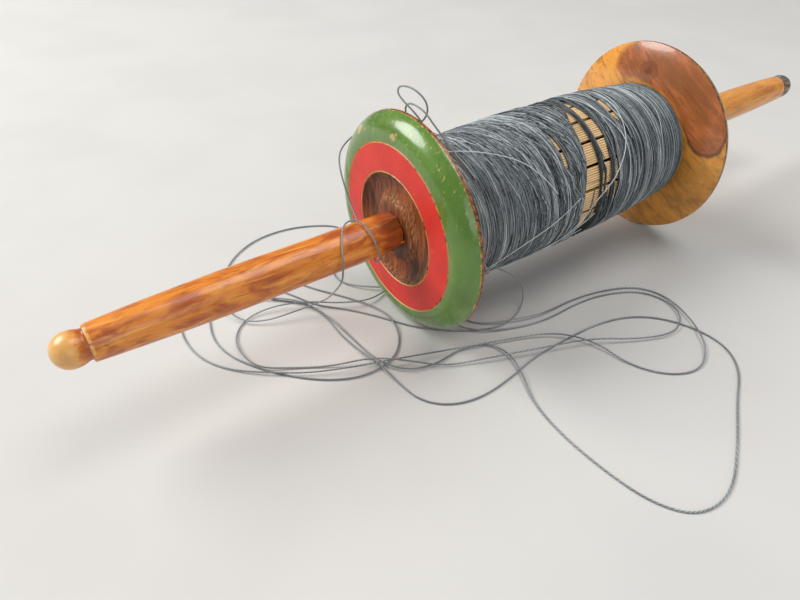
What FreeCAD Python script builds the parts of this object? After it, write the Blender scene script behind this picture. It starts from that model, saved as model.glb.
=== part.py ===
import FreeCAD, Part
import math
import os
import Sketcher

# A kite-string reel: a slatted drum between two turned discs, wound with thread, that spins on a wooden axle
# with a turned handle at each end. Millimetres. X runs along the axle from the front handle to the rear one,
# Z is up, and the origin is on the surface that the two discs stand on, below the middle of the drum.

V = FreeCAD.Vector
os.makedirs("parts", exist_ok=True)
doc = FreeCAD.newDocument("kite_string_reel")

# ---------------------------------------------------------------- driving dimensions
DIMENSIONS = [
    ("disc_diameter", 115.0, "outside of both discs"),
    ("disc_spacing", 180.0, "between the rim planes of the two discs"),
    ("rim_land", 1.6, "bare turned edge behind the painted crown"),
    ("crown_width", 13.3, "painted quarter-round, measured along the radius"),
    ("crown_height", 8.5, "how far the crown stands out from the rim plane"),
    ("crown_radius", 12.0, "rounding of the crown"),
    ("face_height", 9.2, "height of the face at the hub, above the rim plane"),
    ("hub_radius", 30.0, "line between the flat ring and the bare hub"),
    ("scribe_width", 0.9, "scribed line at each edge of the flat ring"),
    ("scribe_depth", 0.5, "depth of a scribed line"),
    ("cove_radius", 10.5, "hollow turned round the boss"),
    ("boss_radius", 15.0, "raised boss round the axle"),
    ("dome_height", 7.7, "inner face at the drum, inside the rim plane"),
    ("dome_swell", 1.1, "how far the inner face swells above its chord"),
    ("drum_flat", 1.9, "flat of the inner face outside the slats"),
    ("drum_radius", 33.6, "outside of the slats"),
    ("slat_thickness", 2.4, "bamboo slat"),
    ("slat_gap", 1.3, "between slats"),
    ("slat_count", 18.0, "slats round the drum"),
    ("slat_seat", 4.0, "depth of the groove that holds the slat ends"),
    ("slat_bow", 3.2, "how far the slats bow outwards at the middle of the drum"),
    ("winding_front", 3.7, "thickness of the thread at the front disc"),
    ("winding_middle", 6.3, "highest the thread stands above the ends of the slats"),
    ("winding_rear", 1.4, "thickness of the thread at the rear disc"),
    ("winding_crest", 5.0, "where the thread is thickest, from the middle of the drum"),
    ("axle_radius", 6.0, "axle"),
    ("axle_clearance", 0.05, "radial running clearance in each disc"),
    ("end_clearance", 0.4, "between a boss and its handle"),
    ("socket_depth", 26.0, "how far the axle enters each handle"),
    ("front_reach", 157.0, "from the rim plane to the shoulder of the front handle"),
    ("rear_reach", 145.0, "from the rim plane to the shoulder of the rear handle"),
    ("handle_radius", 10.0, "handle beside the disc"),
    ("grip_length", 45.0, "cylindrical stretch of the handle"),
    ("handle_end_radius", 8.3, "handle at its outer shoulder"),
    ("handle_bow", 1500.0, "gentle swelling of the tapered stretch"),
    ("facet_length", 10.0, "eight-sided stretch against the disc"),
    ("facet_apothem", 9.3, "centre to flat of the eight-sided stretch"),
    ("shoulder_edge", 0.5, "eased edge of the shoulder"),
    ("neck_radius", 7.0, "groove behind the knob"),
    ("neck_width", 1.6, "groove behind the knob"),
    ("knob_radius", 8.0, "rounded end at its thickest"),
    ("knob_swell", 5.0, "stretch over which the knob thickens from the neck"),
    ("knob_length", 8.0, "rounded end beyond its thickest place"),
    ("thread_diameter", 0.9, "loose thread"),
]
sheet = doc.addObject("Spreadsheet::Sheet", "Sizes")
for row, (alias, value, meaning) in enumerate(DIMENSIONS, start=1):
    sheet.set("A%d" % row, alias)
    sheet.set("B%d" % row, str(value))
    sheet.set("C%d" % row, meaning)
    sheet.setAlias("B%d" % row, alias)
doc.recompute()


class Size:
    """A length that keeps the spreadsheet expression it comes from beside its value."""

    def __init__(self, value, text):
        self.value = float(value)
        self.text = text

    def _join(self, other, sign, value):
        return Size(value, "(%s %s %s)" % (self.text, sign, as_size(other).text))

    def __add__(self, other):
        return self._join(other, "+", self.value + as_size(other).value)

    def __sub__(self, other):
        return self._join(other, "-", self.value - as_size(other).value)

    def __mul__(self, other):
        return self._join(other, "*", self.value * as_size(other).value)

    def __truediv__(self, other):
        return self._join(other, "/", self.value / as_size(other).value)


def as_size(item):
    return item if isinstance(item, Size) else Size(item, repr(float(item)))


SIZE = {alias: Size(sheet.get(alias), "Sizes." + alias) for alias, _, _ in DIMENSIONS}
ZERO = as_size(0)
RIM_RADIUS = SIZE["disc_diameter"] / 2
RIM_PLANE = SIZE["disc_spacing"] / 2
AXIS_HEIGHT = RIM_RADIUS
CROWN_INNER = RIM_RADIUS - SIZE["crown_width"]
DRUM_FACE = RIM_PLANE - SIZE["dome_height"]
SLAT_INNER = SIZE["drum_radius"] - SIZE["slat_thickness"]
SLAT_END = DRUM_FACE + SIZE["slat_seat"]
BORE_RADIUS = SIZE["axle_radius"] + SIZE["axle_clearance"]
HANDLE_START = RIM_PLANE + SIZE["face_height"] + SIZE["end_clearance"]
FACET_END = HANDLE_START + SIZE["facet_length"]
GRIP_END = FACET_END + SIZE["grip_length"]
# the middle of the drum stands a little off the middle of the whole reel, whose handles differ
MIDDLE = (SIZE["front_reach"] - SIZE["rear_reach"]) / 2
AXLE_END = HANDLE_START + SIZE["socket_depth"]


def bow_radius(run, rise):
    """The radius of an arc that is level at its top and falls by the rise over the run."""
    return (run * run + rise * rise) / 2 / rise


def swell_radius(run, rise, swell):
    """The radius of an arc that stands the swell above the chord over the run and the rise."""
    return ((run * run + rise * rise) / 4 + swell * swell) / 2 / swell


SLAT_ARC = bow_radius(DRUM_FACE, SIZE["slat_bow"])
DOME_START = SIZE["drum_radius"] + SIZE["drum_flat"]
DOME_ARC = swell_radius(RIM_RADIUS - DOME_START, SIZE["dome_height"] - SIZE["rim_land"], SIZE["dome_swell"])


# ---------------------------------------------------------------- building blocks
def new_body(label):
    """An empty body on the axis of the reel."""
    body = doc.addObject("PartDesign::Body", label)
    body.Label = label
    body.Placement = FreeCAD.Placement(V(MIDDLE.value, 0, AXIS_HEIGHT.value), FreeCAD.Rotation())
    body.setExpression("Placement.Base.x", MIDDLE.text)
    body.setExpression("Placement.Base.z", AXIS_HEIGHT.text)
    return body


def new_sketch(body, name, role):
    plane = [item for item in body.Origin.OriginFeatures if item.Role == role][0]
    sketch = body.newObject("Sketcher::SketchObject", name)
    sketch.AttachmentSupport = [(plane, "")]
    sketch.MapMode = "FlatFace"
    return sketch


def bind(sketch, kind, geometry, size):
    """A dimension that follows the spreadsheet."""
    number = sketch.addConstraint(Sketcher.Constraint(kind, *geometry, size.value))
    sketch.setExpression("Constraints[%d]" % number, size.text)


def outline(sketch, points):
    """A closed outline. Each point is (x, y) and may add the radius of an arc to the next point: a positive
    radius bulges to the left of the way the outline runs, a negative one to the right."""
    count = len(points)
    flat = [V(as_size(p[0]).value, as_size(p[1]).value, 0) for p in points]
    begins = []
    for index, point in enumerate(points):
        start, end = flat[index], flat[(index + 1) % count]
        if len(point) == 2:
            sketch.addGeometry(Part.LineSegment(start, end), False)
            begins.append(1)
            continue
        bulge = as_size(point[2]).value
        chord = end.sub(start)
        left = V(-chord.y, chord.x, 0).normalize()
        centre = start + chord * 0.5 - left * math.copysign(math.sqrt(bulge ** 2 - (chord.Length / 2) ** 2), bulge)
        turns = [math.atan2(p.y - centre.y, p.x - centre.x) for p in (start, end)]
        if bulge > 0:
            turns.reverse()
        circle = Part.Circle(centre, V(0, 0, 1), abs(bulge))
        sketch.addGeometry(Part.ArcOfCircle(circle, turns[0], turns[1]), False)
        begins.append(2 if bulge > 0 else 1)
    for index, point in enumerate(points):
        following = (index + 1) % count
        joint = (index, 3 - begins[index], following, begins[following])
        sketch.addConstraint(Sketcher.Constraint("Coincident", *joint))
        bind(sketch, "DistanceX", (-1, 1, index, begins[index]), as_size(point[0]))
        bind(sketch, "DistanceY", (-1, 1, index, begins[index]), as_size(point[1]))
        if len(point) == 3:
            radius = as_size(point[2])
            bind(sketch, "Radius", (index,), radius if radius.value > 0 else radius * -1)


def revolve(body, points, name="turned"):
    """A solid turned round the X axis from its half outline."""
    sketch = new_sketch(body, name + "_outline", "XY_Plane")
    outline(sketch, points)
    turned = body.newObject("PartDesign::Revolution", name)
    turned.Profile = sketch
    turned.ReferenceAxis = (sketch, ["H_Axis"])
    turned.Angle = 360.0
    sketch.Visibility = False
    return turned


def along(side, distance):
    """A distance from the middle of the drum, towards the front (-1) or the rear (+1)."""
    return as_size(distance) * side


# ---------------------------------------------------------------- discs
def make_disc(label, side):
    """A turned board: domed inside, with a painted crown, a flat ring and a coved hub outside."""
    body = new_body(label)
    face = RIM_PLANE + SIZE["face_height"]
    crown = RIM_PLANE + SIZE["crown_height"]
    half_line = SIZE["scribe_width"] / 2
    land = RIM_PLANE - SIZE["rim_land"]
    hollow = SIZE["cove_radius"]
    points = [
        (along(side, DRUM_FACE), BORE_RADIUS),
        (along(side, DRUM_FACE), DOME_START, DOME_ARC * side),
        (along(side, land), RIM_RADIUS),
        (along(side, RIM_PLANE), RIM_RADIUS, SIZE["crown_radius"] * side),
        (along(side, crown), CROWN_INNER + half_line),
        (along(side, crown - SIZE["scribe_depth"]), CROWN_INNER),
        (along(side, crown), CROWN_INNER - half_line),
        (along(side, face), SIZE["hub_radius"] + half_line),
        (along(side, face - SIZE["scribe_depth"]), SIZE["hub_radius"]),
        (along(side, face), SIZE["hub_radius"] - half_line, hollow * side * -1),
        (along(side, face), SIZE["boss_radius"]),
        (along(side, face), BORE_RADIUS),
    ]
    revolve(body, points)
    seat = new_sketch(body, "slat_seat_outline", "XY_Plane")
    outline(seat, [
        (along(side, DRUM_FACE), SLAT_INNER),
        (along(side, DRUM_FACE), SIZE["drum_radius"]),
        (along(side, SLAT_END), SIZE["drum_radius"]),
        (along(side, SLAT_END), SLAT_INNER),
    ])
    groove = body.newObject("PartDesign::Groove", "slat_seat")
    groove.Profile = seat
    groove.ReferenceAxis = (seat, ["H_Axis"])
    groove.Angle = 360.0
    seat.Visibility = False
    return body


# ---------------------------------------------------------------- drum
def make_slat(label, number):
    """A bamboo slat: a narrow strip let into both discs, bowed outwards along the drum."""
    body = new_body(label)
    outer, inner = SIZE["drum_radius"], SLAT_INNER
    points = [
        (SLAT_END * -1, inner),
        (DRUM_FACE * -1, inner, SLAT_ARC),
        (DRUM_FACE, inner),
        (SLAT_END, inner),
        (SLAT_END, outer),
        (DRUM_FACE, outer, SLAT_ARC * -1),
        (DRUM_FACE * -1, outer),
        (SLAT_END * -1, outer),
    ]
    strip = revolve(body, points, "strip")
    width = as_size(360) / SIZE["slat_count"] - SIZE["slat_gap"] / outer * 180 / math.pi
    strip.Angle = width.value
    strip.setExpression("Angle", width.text)
    strip.Midplane = True
    turn = 360.0 / SIZE["slat_count"].value * number
    body.Placement = FreeCAD.Placement(body.Placement.Base, FreeCAD.Rotation(V(1, 0, 0), turn))
    body.setExpression("Placement.Base.x", MIDDLE.text)
    body.setExpression("Placement.Base.z", AXIS_HEIGHT.text)
    return body


def make_winding(label):
    """The wound thread as one sleeve, thickest a little to the rear of the middle."""
    body = new_body(label)
    crest = SIZE["drum_radius"] + SIZE["winding_middle"]
    front = SIZE["drum_radius"] + SIZE["winding_front"]
    rear = SIZE["drum_radius"] + SIZE["winding_rear"]
    middle = SIZE["winding_crest"]
    points = [
        (DRUM_FACE * -1, SIZE["drum_radius"]),
        (DRUM_FACE * -1, front, bow_radius(DRUM_FACE + middle, crest - front)),
        (middle, crest, bow_radius(DRUM_FACE - middle, crest - rear)),
        (DRUM_FACE, rear),
        (DRUM_FACE, SIZE["drum_radius"], SLAT_ARC * -1),
    ]
    revolve(body, points, "sleeve")
    return body


# ---------------------------------------------------------------- axle and handles
def make_axle(label):
    """The round rod that the discs turn on."""
    body = new_body(label)
    sketch = new_sketch(body, "axle_section", "YZ_Plane")
    sketch.addGeometry(Part.Circle(V(0, 0, 0), V(0, 0, 1), SIZE["axle_radius"].value), False)
    sketch.addConstraint(Sketcher.Constraint("Coincident", 0, 3, -1, 1))
    bind(sketch, "Radius", (0,), SIZE["axle_radius"])
    pad = body.newObject("PartDesign::Pad", "axle_length")
    pad.Profile = sketch
    pad.Midplane = True
    length = AXLE_END * 2
    pad.Length = length.value
    pad.setExpression("Length", length.text)
    sketch.Visibility = False
    return body


def make_handle(label, side):
    """A turned handle: eight-sided against the disc, then round, tapering to a neck and a rounded knob."""
    body = new_body(label)
    shoulder = RIM_PLANE + SIZE["rear_reach" if side > 0 else "front_reach"]
    neck_start = shoulder + SIZE["shoulder_edge"]
    neck_end = neck_start + SIZE["neck_width"]
    knob_waist = neck_end + SIZE["knob_swell"]
    tip = knob_waist + SIZE["knob_length"]
    swell = bow_radius(SIZE["knob_swell"], SIZE["knob_radius"] - SIZE["neck_radius"])
    # the end of the knob is part of a ball whose centre is on the axis
    length, waist = SIZE["knob_length"], SIZE["knob_radius"]
    dome = (length * length + waist * waist) / 2 / length
    points = [
        (along(side, FACET_END), SIZE["axle_radius"]),
        (along(side, FACET_END), SIZE["handle_radius"]),
        (along(side, GRIP_END), SIZE["handle_radius"], SIZE["handle_bow"] * side),
        (along(side, shoulder), SIZE["handle_end_radius"]),
        (along(side, neck_start), SIZE["handle_end_radius"] - SIZE["shoulder_edge"]),
        (along(side, neck_start), SIZE["neck_radius"]),
        (along(side, neck_end), SIZE["neck_radius"], swell * side),
        (along(side, knob_waist), SIZE["knob_radius"], dome * side),
        (along(side, tip), ZERO),
        (along(side, AXLE_END), ZERO),
        (along(side, AXLE_END), SIZE["axle_radius"]),
    ]
    revolve(body, points)
    facets = new_sketch(body, "facet_section", "YZ_Plane")
    start = FACET_END * side
    facets.AttachmentOffset = FreeCAD.Placement(V(0, 0, start.value), FreeCAD.Rotation())
    facets.setExpression("AttachmentOffset.Base.z", start.text)
    apothem = SIZE["facet_apothem"]
    across = apothem.value / math.cos(math.pi / 8)
    corners = []
    for number in range(8):
        angle = math.pi / 8 + number * math.pi / 4
        corners.append(V(across * math.cos(angle), across * math.sin(angle), 0))
    for number in range(8):
        facets.addGeometry(Part.LineSegment(corners[number], corners[(number + 1) % 8]), False)
    facets.addGeometry(Part.Circle(V(0, 0, 0), V(0, 0, 1), across), True)
    facets.addConstraint(Sketcher.Constraint("Coincident", 8, 3, -1, 1))
    for number in range(8):
        facets.addConstraint(Sketcher.Constraint("Coincident", number, 2, (number + 1) % 8, 1))
        facets.addConstraint(Sketcher.Constraint("PointOnObject", number, 1, 8))
        if number:
            facets.addConstraint(Sketcher.Constraint("Equal", 0, number))
    facets.addConstraint(Sketcher.Constraint("Vertical", 7))
    corner_radius = Size(across, "(%s / cos(22.5deg))" % apothem.text)
    bind(facets, "Radius", (8,), corner_radius)
    facets.addGeometry(Part.Circle(V(0, 0, 0), V(0, 0, 1), SIZE["axle_radius"].value), False)
    facets.addConstraint(Sketcher.Constraint("Coincident", 9, 3, -1, 1))
    bind(facets, "Radius", (9,), SIZE["axle_radius"])
    pad = body.newObject("PartDesign::Pad", "facets")
    pad.Profile = facets
    pad.Reversed = side > 0
    pad.Length = SIZE["facet_length"].value
    pad.setExpression("Length", SIZE["facet_length"].text)
    facets.Visibility = False
    return body


# ---------------------------------------------------------------- loose thread
# One end of the thread leaves the winding beside the front disc, lies in loops on the surface, lies over the
# front handle and goes once round it and over the rim of the front disc, and its end lies on the winding.
# Humps of two points carry it over itself. The points were chosen by hand, with x from the middle of the drum.
THREAD_ROUTE = [
    (-50, -27.5, 29.3), (-44, -31, 26), (-35.5, -31, 17), (-32, -31, 9), (-33, -33, 3), (-41, -38, 0.9),
    # under the front disc, and behind the handle
    (-55, -41, 0.7), (-71, -35, 0.7), (-86, -24, 0.7), (-97, -12, 0.7), (-107, 5, 0.7), (-118, 20, 0.7),
    (-131, 33, 0.7), (-138, 50, 0.7), (-147, 66, 0.7), (-165, 73, 0.7), (-180, 67, 0.7),
    (-186, 54, 0.7),
    (-190, 38, 0.7), (-188, 22, 0.7), (-180, 6, 0.7), (-169, -9, 0.7), (-154, -23, 0.7),
    (-137, -31, 0.7),
    (-119, -29, 0.7), (-107, -18, 0.7), (-102, -3, 2.1), (-104, 11, 2.1), (-113, 30, 0.7),
    (-124, 46, 0.7),
    (-131, 60, 0.7), (-141, 68, 2), (-151, 63, 2), (-150, 52, 0.7), (-141, 44, 0.7), (-134, 36, 0.7),
    # the wide loop beside the front disc
    (-131, 22, 0.7), (-132, 2, 0.7), (-130, -18, 2), (-127, -32, 2), (-126, -45, 0.7), (-124, -60, 0.7),
    (-113, -71, 0.7), (-96, -75, 0.7), (-73, -72, 0.7), (-60, -69, 0.7), (-38, -68, 0.7),
    (-8, -69, 0.7),
    (14, -77, 0.7), (28, -94, 0.7), (33, -117, 0.7), (23, -134, 0.7), (2, -146, 0.7), (-20, -161, 0.7),
    (-46, -176, 0.7), (-67, -175, 0.7), (-78, -160, 0.7), (-82, -138, 0.7), (-83, -113, 0.7),
    (-80, -91, 0.7),
    (-72, -75, 2), (-67, -60, 2), (-71, -46, 0.7), (-86, -42, 0.7), (-104, -44, 0.7), (-119, -40, 2),
    (-127, -26, 2), (-128, -6, 0.7), (-130, 18, 2), (-136, 38, 3), (-150, 53, 1.7), (-168, 62, 2),
    (-187, 68, 2), (-200, 62, 0.7), (-203, 46, 0.7), (-201, 28, 0.7),
    # back along the front to the small loop beside the drum
    (-192, 12, 0.7), (-177, -2, 2), (-160, -14, 2), (-140, -24, 3.3), (-120, -31, 3.3), (-103, -36, 2),
    (-84, -44, 2.8), (-58, -52, 1.5), (-36, -62, 2.4), (-24, -80, 2.4), (-22, -99, 0.7),
    (-12, -116, 0.7),
    (5, -124, 0.7), (22, -115, 2), (34, -96, 2), (41, -75, 0.7), (34, -59, 0.7), (14, -50, 0.7),
    (-8, -46, 0.7), (-31, -47, 2.1), (-52, -40, 2.1), (-66, -32, 0.7), (-72, -17, 0.7), (-71, 0, 0.7),
    (-77, 15, 0.7), (-90, 22, 0.7), (-104, 17, 2.8), (-120, 23, 3.9), (-134, 34, 4.2), (-151, 43, 3.1),
    (-168, 45, 0.7), (-179, 35, 0.7), (-183, 20, 2.1), (-180, 4, 2.1), (-166, -4, 0.7),
    (-148, -15, 0.7),
    (-130, -24, 4.5), (-116, -36, 4.5), (-100, -48, 0.7), (-78, -58, 3.2), (-52, -68, 3.8),
    (-26, -77, 3.8),
    (-3, -91, 1.8), (17, -99, 2), (32, -92, 2), (38, -77, 0.7), (31, -62, 0.7), (12, -53, 0.7),
    (-8, -50, 0.7), (-32, -51, 0.7), (-54, -45, 0.7), (-72, -36, 2), (-80, -20, 2), (-79, 0, 0.7),
    (-86, 20, 2.2), (-100, 30, 2.2), (-108, 42, 0.7), (-108, 54, 0.7), (-99, 66, 0.7), (-86, 75, 0.7),
    # a wide arc behind the handle, and back under it
    (-77, 85, 0.7), (-78, 97, 0.7), (-88, 106, 0.7), (-106, 114, 0.7), (-128, 115, 0.7), (-148, 106, 0.7),
    (-162, 91, 0.7), (-172, 74, 0.7), (-176, 56, 5.5), (-172, 42, 2.1), (-161, 34, 2.6), (-146, 30, 4.9),
    # up the near side of the handle, over its top, down again and round it
    (-134, 27, 7), (-130.5, 17, 16), (-131.5, 5, 30), (-134, -5, 41), (-136, -11.5, 49), (-136, -12.8, 57),
    (-134, -9.4, 65.2), (-129.5, -2, 69.8), (-124, 3.6, 69), (-119, 2, 69.8), (-117.5, -7.4, 67.5),
    (-116.5, -12.6, 60),
    (-115.5, -12.8, 53.5), (-113.5, -6, 45.5), (-109, 6, 43.5), (-105.5, 17, 45),
    # up past the face of the front disc and over its rim
    (-103.5, 28, 49.5), (-102, 38, 56), (-101, 46, 65), (-99, 53, 71.5), (-96, 56.5, 77), (-91, 55, 83),
    (-86, 50.5, 88), (-81, 43, 90), (-77, 33, 94), (-75.5, 21, 99), (-76, 12, 103.5),
    # a loop that stands above the rim, and a smaller bend beside it
    (-78, 5.5, 108), (-79.5, 0, 114), (-82, -2.2, 120.5), (-85, 0.5, 125), (-87, 5, 126.5), (-88.5, 10.5, 125.5),
    (-88.5, 12, 121.5), (-87, 8, 118), (-85, 4.4, 115), (-82, 1.5, 110), (-80, 0.5, 105), (-77.5, 4, 101),
    (-77.5, 11, 101), (-79.5, 15.5, 105), (-82, 15, 110.5), (-83.2, 12, 115.3), (-83.5, 6.5, 117.3),
    (-82.5, -1.5, 116),
    (-80, -5, 110.5), (-76.5, -7, 105), (-73.5, -10, 99.5), (-71.5, -14.5, 95), (-70, -19, 91.8),
    (-69, -24.5, 88),
]


def make_thread(label):
    """A tube along the route: straight runs joined by arcs as large as the runs allow."""
    route = [V(x + MIDDLE.value, y, z) for x, y, z in THREAD_ROUTE]
    radius = SIZE["thread_diameter"].value / 2
    edges = []
    radii = []
    here = route[0]
    for before, corner, after in zip(route, route[1:], route[2:]):
        back = before.sub(corner)
        onward = after.sub(corner)
        turn = math.pi - back.getAngle(onward)
        setback = 0.45 * min(back.Length, onward.Length)
        radii.append(setback / math.tan(turn / 2))
        back.normalize()
        onward.normalize()
        enter = corner + back * setback
        leave = corner + onward * setback
        middle_out = (back + onward).normalize()
        middle = corner + middle_out * (radii[-1] / math.cos(turn / 2) - radii[-1])
        edges.append(Part.LineSegment(here, enter).toShape())
        edges.append(Part.Arc(enter, middle, leave).toShape())
        here = leave
    edges.append(Part.LineSegment(here, route[-1]).toShape())
    path = Part.Wire(edges)
    start_way = route[1].sub(route[0])
    section = Part.Wire([Part.Circle(route[0], start_way, radius).toShape()])
    tube = path.makePipeShell([section], True, False)
    expected = math.pi * radius ** 2 * path.Length
    print("loose thread: length %.1f mm, volume %.2f of %.2f mm3" % (path.Length, tube.Volume, expected))
    print("loose thread radii:", " ".join("%.1f" % value for value in radii))
    if abs(tube.Volume - expected) > 0.01 * expected:
        raise RuntimeError("the loose thread's tube is not its section times its length")
    thread = doc.addObject("Part::Feature", label)
    thread.Label = label
    thread.Shape = tube
    return thread


# ---------------------------------------------------------------- the assembly
make_axle("axle")
make_handle("front_handle", -1)
make_handle("rear_handle", 1)
make_disc("front_disc", -1)
make_disc("rear_disc", 1)
for slat_number in range(int(SIZE["slat_count"].value)):
    make_slat("slat_%02d" % (slat_number + 1), slat_number)
make_winding("thread_winding")
make_thread("loose_thread")
doc.recompute()

for item in doc.Objects:
    if "Invalid" in item.State or "Error" in item.State:
        raise RuntimeError("%s did not recompute: %s" % (item.Label, item.State))

pieces = [item for item in doc.Objects if item.TypeId == "PartDesign::Body" or item.Label == "loose_thread"]
for piece in pieces:
    shape = piece.Shape
    if shape.isNull() or not shape.isValid() or not shape.Solids:
        raise RuntimeError("%s has no valid solid" % piece.Label)
for piece in pieces:
    piece.Shape.exportStep(os.path.join("parts", piece.Label + ".step"))
    print("%-16s %10.1f mm3" % (piece.Label, piece.Shape.Volume))
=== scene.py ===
import math
import random

import bpy
import numpy as np
from bpy.props import FloatProperty, FloatVectorProperty, IntProperty, PointerProperty
from mathutils import Matrix, Vector


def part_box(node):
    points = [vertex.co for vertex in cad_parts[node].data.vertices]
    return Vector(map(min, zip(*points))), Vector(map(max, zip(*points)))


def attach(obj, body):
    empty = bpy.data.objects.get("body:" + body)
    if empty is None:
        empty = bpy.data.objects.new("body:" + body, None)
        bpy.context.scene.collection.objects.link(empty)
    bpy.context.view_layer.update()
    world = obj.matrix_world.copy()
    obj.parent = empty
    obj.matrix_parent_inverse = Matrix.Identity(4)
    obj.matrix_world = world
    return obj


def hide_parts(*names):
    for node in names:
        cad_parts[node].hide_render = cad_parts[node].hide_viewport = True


bl_info = {
    "name": "Kite-string reel",
    "version": (1, 0, 0),
    "blender": (4, 5, 0),
    "location": "3D View > Sidebar > Kite reel",
    "description": "Models a wooden kite-string reel with its wound and loose thread",
    "category": "Add Mesh",
}

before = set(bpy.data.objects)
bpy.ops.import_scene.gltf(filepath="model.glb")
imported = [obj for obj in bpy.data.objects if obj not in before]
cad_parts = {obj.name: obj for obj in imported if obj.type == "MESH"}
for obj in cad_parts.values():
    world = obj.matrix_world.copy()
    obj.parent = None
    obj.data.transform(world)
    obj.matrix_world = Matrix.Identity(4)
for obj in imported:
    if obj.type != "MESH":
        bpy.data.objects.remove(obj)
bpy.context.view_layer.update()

# ------------------------------------------------------------------ places taken from the frame
MM = 0.001
DISC_LOW, DISC_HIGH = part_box("rear_disc")
RIM_RADIUS = (DISC_HIGH[1] - DISC_LOW[1]) / 2
AXIS = RIM_RADIUS
WINDING_LOW, WINDING_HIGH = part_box("thread_winding")
MIDDLE = (WINDING_LOW[0] + WINDING_HIGH[0]) / 2
DRUM_FACE = WINDING_HIGH[0] - MIDDLE
DRUM_FRONT = -DRUM_FACE
CREST_RADIUS = (WINDING_HIGH[1] - WINDING_LOW[1]) / 2
HANDLE_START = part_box("rear_handle")[0][0] - MIDDLE
HANDLE_TIP = {1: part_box("rear_handle")[1][0] - MIDDLE, -1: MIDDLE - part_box("front_handle")[0][0]}
SLAT_NODES = sorted(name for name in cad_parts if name.startswith("slat_"))


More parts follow.
